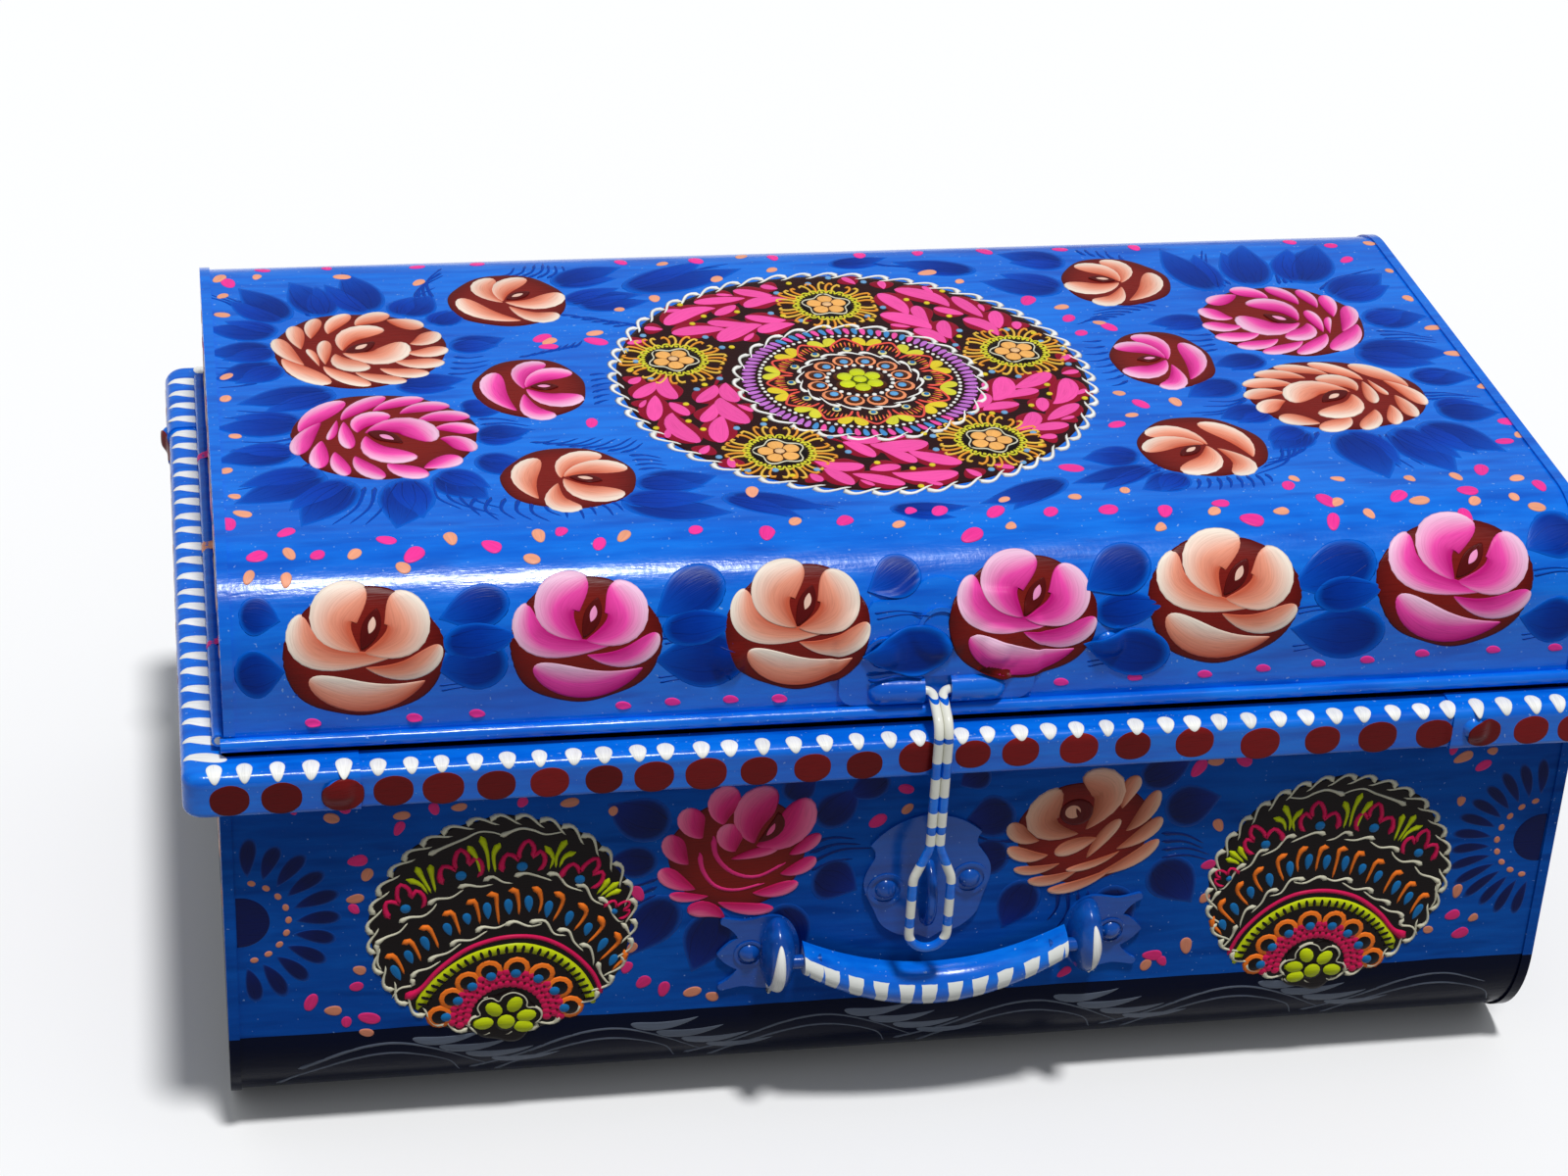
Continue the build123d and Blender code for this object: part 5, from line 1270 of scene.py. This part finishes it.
front_roses = Coat()
for centre, radii, turn, palette in (
        ((-181.6, -141.8), (26, 22.5), 0, PEACH), ((-111.5, -141.2), (25, 22), 0, PINK),
        ((-42.6, -140.3), (24, 22), -2, PEACH), ((31.8, -140.3), (25.5, 21.4), -8, PINK),
        ((99.2, -137.3), (26.7, 22.8), -13, PEACH), ((179.3, -135.2), (28, 23), -16, PINK)):
    over_plate = abs(centre[0]) < 60
    rose(front_roses, centre, radii, turn, palette, OPEN, fine=2 if over_plate else 1,
         pile=0.07 if over_plate else 0.014)
lay("lid_front_roses", front_roses, lid_sheet, lid_metal, "lid", drape=True)

mandala = Coat()
top_mandala(mandala)
lay("lid_mandala", mandala, lid_sheet, lid_metal, "lid")

dots = Coat()
scatter(dots, LID_PINK_DOTS, DOT_PINK, 2.9)
scatter(dots, LID_PEACH_DOTS, DOT_PEACH, 2.3)
for across in (-198, -166, -146, -99, -83, -64, -48, 46, 71, 95, 115, 134, 151, 170, 195, 217):
    up = -164.6 + random.uniform(-1, 1) + max(across - 60, 0) * 0.03
    dots.dab(((across + 2.6, up - 0.6), (across, up + 0.8), (across - 2.6, up)), 1.5, DOT_PINK,
             outline=petal(0.6, 0.5), base=0.12)
lay("lid_dots", dots, lid_sheet, lid_metal, "lid", drape=True)

# ---- rim ----
RIM_DOTS = (
    -225.2, -208.9, -189.7, -173.7, -157.9, -141, -123.9, -106.4, -90.2, -73.3, -56, -38.4, -21.2,
    -3.2, 14.8, 30.8, 50.5, 68.8, 89.9, 112.6, 134.2, 153.4, 173.1, 190.4, 207.2, 223)
rim_metal = metal("rim_front", "rim_left", "rim_right", "rim_back", "rim_rivets")


def rim_dot(coat, across, up):
    """A round blot on the rim's face, dark red and uneven."""
    size = random.uniform(0.93, 1.1)
    tint = RIM_RED * varied(0.65, 1.3)
    line = ((across - 6.3 * size, up - 0.5), (across, up), (across + 6.3 * size, up))
    coat.dab(line, 5.6 * size, tint, outline=lambda share: round_outline(share) ** 0.8, base=0.05,
             rise=0.08, fine=1)


def rim_drops(coat, first, last, count, lean=0.0, low=-1.6, high=6.6):
    """A row of white drops over the rim's fold, evenly spread between two places."""
    for k in range(count):
        across = first + (last - first) * k / (count - 1) + random.uniform(-0.7, 0.7)
        foot = (across + random.uniform(-0.5, 0.5), low)
        line = (foot, (across, (low + high) / 2), (across + lean, high))
        coat.dab(line, random.uniform(2.5, 3.0), WHITE, outline=petal(0.62, 0.55), base=0.06,
                 rise=0.28)


for quarters, name in enumerate(("rim_front", "rim_right", "rim_back", "rim_left")):
    trim = Coat()
    far = (RIM_FACE if quarters % 2 else RIM_END) - 12
    spread = np.linspace(-far, far, round(2 * far / 17) + 1)
    for across in RIM_DOTS if quarters == 0 else spread:
        rim_dot(trim, across, -5.4 if quarters == 0 and -10 < across < 100 else -7.2)
    if quarters == 0:
        rim_drops(trim, -230, -3, 23)
        rim_drops(trim, 10.9, 227, 23)
    elif quarters == 2:
        rim_drops(trim, -far, far, round(2 * far / 10.1) + 1)
    else:
        lean = 3.4 if quarters == 3 else -3.4
        rim_drops(trim, -far, far, round(2 * far / 10.4) + 1, lean, -0.6, 13.2)
    lay(f"{name}_paint", trim, rim_sheet(quarters), rim_metal, "trunk_body", drape=True)

# ---- body front ----
ground = Coat()
half_daisy(ground, -223.6, 90, 1, 11, 3.0)
half_daisy(ground, 223.6, 93, -1, 14, 2.2)
for across, up, tip_across, tip_up, width in BODY_LEAVES:
    leaf(ground, (across, up), (tip_across, tip_up), width, palette=NAVY, shade=0.8,
         soft=BODY_GROUND)
for row in BODY_COMBS:
    comb(ground, *row, NAVY[1], soft=BODY_GROUND)
lay("body_front_leaves", ground, body_sheet(0), wall_metal, "trunk_body")

front = Coat()
rose(front, (-59.6, 106), (27.6, 26.2), 0, DULL_PINK, CURLED, ground=0.86,
     crescents=CRESCENTS, plump=1.28)
rose(front, (58.8, 106.5), (27.7, 24.7), 0, DULL_PEACH, SPREAD, ground=0.86, plump=1.22)
lay("body_front_roses", front, body_sheet(0), wall_metal, "trunk_body")

fans = Coat()
fan(fans, (-137.6, 82))
fan(fans, (148.4, 80), 0.975, -1)
lay("body_front_fans", fans, body_sheet(0), wall_metal, "trunk_body")

specks = Coat()
scatter(specks, FRONT_PINK_DOTS, DULL_PINK[1], 2.4)
scatter(specks, FRONT_PEACH_DOTS, DULL_PEACH[1], 2.3)
lay("body_front_dots", specks, body_sheet(0), wall_metal, "trunk_body")


BAND_HALF = 222
ARCH_PITCH = 74


def feather_band(coat):
    """The band at the foot of a long wall: long arches with feathers of short strokes between."""
    for start in range(-BAND_HALF, BAND_HALF + 1, ARCH_PITCH):
        for lift, gap in ((0, 0), (-5.0, 9)):
            arch = [(start + gap, 17 + lift), (start + 16, 25 + lift), (start + 34, 34 + lift),
                    (start + 50, 36 + lift), (start + 66, 30 + lift), (start + 80 - gap, 20 + lift)]
            arch = [place for place in arch if abs(place[0]) < BAND_HALF]
            if len(arch) > 2:
                coat.trail(arch, 2.8, FEATHER, rise=0.06, base=0.04, tail=0.3, soft=SHADED_BAND_BLUE)
        for j in range(4):
            foot = (start + 54 + 9 * j, 38 - 4.6 * j)
            barb = (foot, (foot[0] + 10, foot[1] - 5), (foot[0] + 24, foot[1] + 1.5))
            if max(abs(place[0]) for place in barb) < BAND_HALF:
                coat.dab(barb[::-1], 2.1, FEATHER, base=0.04, rise=0.05)


for quarters, name in ((0, "body_front_feathers"), (2, "body_back_feathers")):
    feathers = Coat()
    feather_band(feathers)
    lay(name, feathers, body_sheet(quarters), wall_metal, "trunk_body")

# ---- strokes over the domes of the handle's plates ----
domes = Coat()
for foot, head in (((-46.7, 47), (-45.3, 75)), ((66, 47), (63, 75))):
    domes.dab((foot, head), 2.1, WHITE, outline=round_outline, base=0.3, rise=0.2, fine=1)
lay("handle_plate_strokes", domes, body_sheet(0), metal("handle_plate_left", "handle_plate_right"),
    "trunk_body", reach=0.022)


# ---- the back and the ends, in the manner of the front ----
def posy(coat, centre, radii, palette, kind, leaves, soft):
    """A rose with a ring of leaves behind it and loose dots about it."""
    def oval(wide, high, degrees):
        angle = math.radians(degrees)
        return (centre[0] + wide * radii[0] * math.cos(angle),
                centre[1] + high * radii[1] * math.sin(angle))

    for at in range(0, 360, 40):
        leaf(coat, oval(0.8, 0.8, at), oval(1.85, 1.6, at + random.uniform(-8, 8)),
             0.27 * radii[0], palette=leaves, soft=soft)
    rose(coat, centre, radii, 0, palette, kind)
    ring = [oval(2.1, 1.7, 52 * k + 20) for k in range(7)]
    scatter(coat, ring[::2], palette[1], 2.3)
    scatter(coat, ring[1::2], DOT_PINK if palette is PEACH else DOT_PEACH, 2.3)


lid_back = Coat()
for across, palette in ((-190, PINK), (-65, PEACH), (0, PINK), (65, PEACH), (190, PINK)):
    rose(lid_back, (across, 140), (24, 21.5), 180, palette, OPEN)
    for side in (-1, 1):
        for up, tip_up in ((132, 128), (148, 152)):
            leaf(lid_back, (across + 23 * side, up), (across + 36 * side, tip_up), 4.6)
lay("lid_back_roses", lid_back, lid_sheet, metal("lid_wrap"), "lid")

body_back = Coat()
for across, palette, kind in ((-140, DULL_PEACH, SPREAD), (0, DULL_PINK, FULL),
                              (140, DULL_PEACH, SPREAD)):
    posy(body_back, (across, 98), (27, 25), palette, kind, NAVY, BODY_GROUND)
lay("body_back_roses", body_back, body_sheet(2), wall_metal, "trunk_body")

for quarters, side in ((1, "right"), (3, "left")):
    body_end = Coat()
    posy(body_end, (0, 96), (30, 28), DULL_PINK, FULL, NAVY, BODY_GROUND)
    for across in (-72, 72):
        posy(body_end, (across, 92), (17, 16), DULL_PEACH, OPEN, NAVY, BODY_GROUND)
    lay(f"body_{side}_roses", body_end, body_sheet(quarters), metal(f"body_{side}_end"),
        "trunk_body")
    lid_side = Coat()
    for across, palette in ((-66, PEACH), (0, PINK), (66, PEACH)):
        posy(lid_side, (across, LID_END_MIDDLE), (17, 14), palette, OPEN, LEAF, LID_GROUND)
    lay(f"lid_{side}_roses", lid_side, lid_end_sheet(quarters), metal(f"lid_{side}_end"), "lid")

# ---- finishes of the CAD nodes ----
lid_enamel = enamel("lid_enamel", LID_BLUES)
# Under 43 mm the body's enamel turns dark navy: the band's darker paint with painted shade added
# for the downward-facing bend.
body_enamel = enamel("body_enamel", BODY_BLUES, below(0.043, SHADED_BAND_BLUE), gloss=0.03)
fittings_enamel = enamel("fittings_enamel", BODY_BLUES)


def any_of(masks):
    """Where at least one of the masks is set."""
    return sum(masks).between(0.0, 0.5)


# Middles of the bars across the grip, from left to right, and the ends of the wire's dashes.
GRIP_BARS = (-37.5, -33, -27.6, -19, -10.2, -1.2, 6.5, 15.3, 24.1, 32.7, 41.8, 50.1, 55.4)
DASHES = ((165.4, 171), (156.4, 164.6), (147.2, 154.7), (133.8, 141), (122, 127.8),
          (114.9, 119.4), (99, 107), (86, 93), (76.7, 82))


def grip_stripes(finish, streaks):
    """White bars across the grip, which narrow downwards and stop short of its upper edge."""
    middle, half, height, sag = 0.0086, 0.0455, 0.0656, 0.014
    share = (finish.axis("X") - middle) * (1 / half)
    rise = finish.axis("Z") - height + sag - share * share * sag
    uneven = (finish.noise(finish.place(), 160.0) - 0.5) * 0.002
    bars = [(finish.axis("X") + uneven - centre * MM).size() < rise * 0.12 + 0.0023
            for centre in GRIP_BARS]
    return any_of(bars) * (rise + uneven * 0.6 < 0.0036), GRIP_WHITE


def wire_dashes(finish, streaks):
    """White dashes down the wire loop."""
    up = finish.axis("Z") + (finish.noise(finish.place(), 160.0) - 0.5) * 0.0012
    dashes = [(up - (low + high) / 2 * MM).size() < (high - low) / 2 * MM for low, high in DASHES]
    return any_of(dashes), WIRE_WHITE


grip_enamel = enamel("striped_grip_enamel", LID_BLUES, grip_stripes)
wire_enamel = enamel("striped_wire_enamel", LID_BLUES, wire_dashes)
bare = Finish("bare_steel_sheet")
grain = bare.noise(bare.stretched(bare.place(), (40, 400, 400)), 3.0, 3.0)
bare_steel = bare.shell(colour=bare.blend(grain, *BARE), roughness=grain * 0.3 + 0.25, metal=1.0,
                        normal=bare.bump(grain, 0.0001))
looks = {"bare_steel": bare_steel, "striped_grip": grip_enamel, "striped_wire": wire_enamel}
for name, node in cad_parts.items():
    if name.startswith("body"):
        plain = body_enamel
    elif name.startswith(("lid", "rim", "hasp", "hinge")):
        plain = lid_enamel
    else:
        plain = fittings_enamel
    node.material_slots[0].material = looks.get(node.data.materials[0].name, plain)

# ---- camera, lamps and floor ----
CAMERA_PLACE = Vector((-0.23255, -1.05092, 0.75065))
FOCAL, FRAME_WIDTH, SENSOR = 3481.95, 1600, 36
YAW, PITCH, ROLL = (math.radians(angle) for angle in (11.31, 30.13, 3.13))
ahead = Vector((math.sin(YAW) * math.cos(PITCH), math.cos(YAW) * math.cos(PITCH), -math.sin(PITCH)))
right = Vector((math.cos(YAW), -math.sin(YAW), 0))
above = right.cross(ahead)
level = right * math.cos(ROLL) + above * math.sin(ROLL)
upright = above * math.cos(ROLL) - right * math.sin(ROLL)
lens = bpy.data.cameras.new("camera")
lens.sensor_width = SENSOR
lens.lens = FOCAL / FRAME_WIDTH * SENSOR
camera = bpy.data.objects.new("camera", lens)
bpy.context.collection.objects.link(camera)
camera.matrix_world = Matrix((*zip(level, upright, -ahead, CAMERA_PLACE), (0, 0, 0, 1)))
bpy.context.scene.camera = camera

sun = bpy.data.lights.new("key_lamp", "SUN")
sun.angle = math.radians(7)
sun.energy = 2.25
key_lamp = bpy.data.objects.new("key_lamp", sun)
key_lamp.rotation_euler = Vector((0.08, -0.25, 0.97)).to_track_quat("Z", "Y").to_euler()
bpy.context.collection.objects.link(key_lamp)

world = bpy.data.worlds.new("studio")
bpy.context.scene.world = world
world.use_nodes = True
sky = world.node_tree.nodes["Background"].inputs
sky["Color"].default_value = (0.94, 0.97, 1, 1)
sky["Strength"].default_value = 0.34

bpy.ops.object.select_all(action="DESELECT")
bpy.ops.mesh.primitive_grid_add(x_subdivisions=8, y_subdivisions=8, size=14,
                                location=(0, 0, -0.0005))
floor = bpy.context.object
floor.name = "floor"
bpy.ops.object.transform_apply(location=True)
pale = Finish("pale_floor")
rays = [pale.node("ShaderNodeLightPath", out=f"Is {kind} Ray")
        for kind in ("Camera", "Glossy", "Transmission")]
seen = (rays[0] + rays[1] + rays[2]).between(0.0, 0.5)
dim = pale.node("ShaderNodeBsdfDiffuse", None, {"Color": (0.22, 0.22, 0.22, 1)})
bright = pale.node("ShaderNodeBsdfDiffuse", None, {"Color": (0.98, 0.98, 0.98, 1)})
pale.surface(pale.node("ShaderNodeMixShader", None, {0: seen, 1: dim, 2: bright}))
floor.data.materials.append(pale.material)

bpy.context.scene.view_settings.view_transform = "Standard"
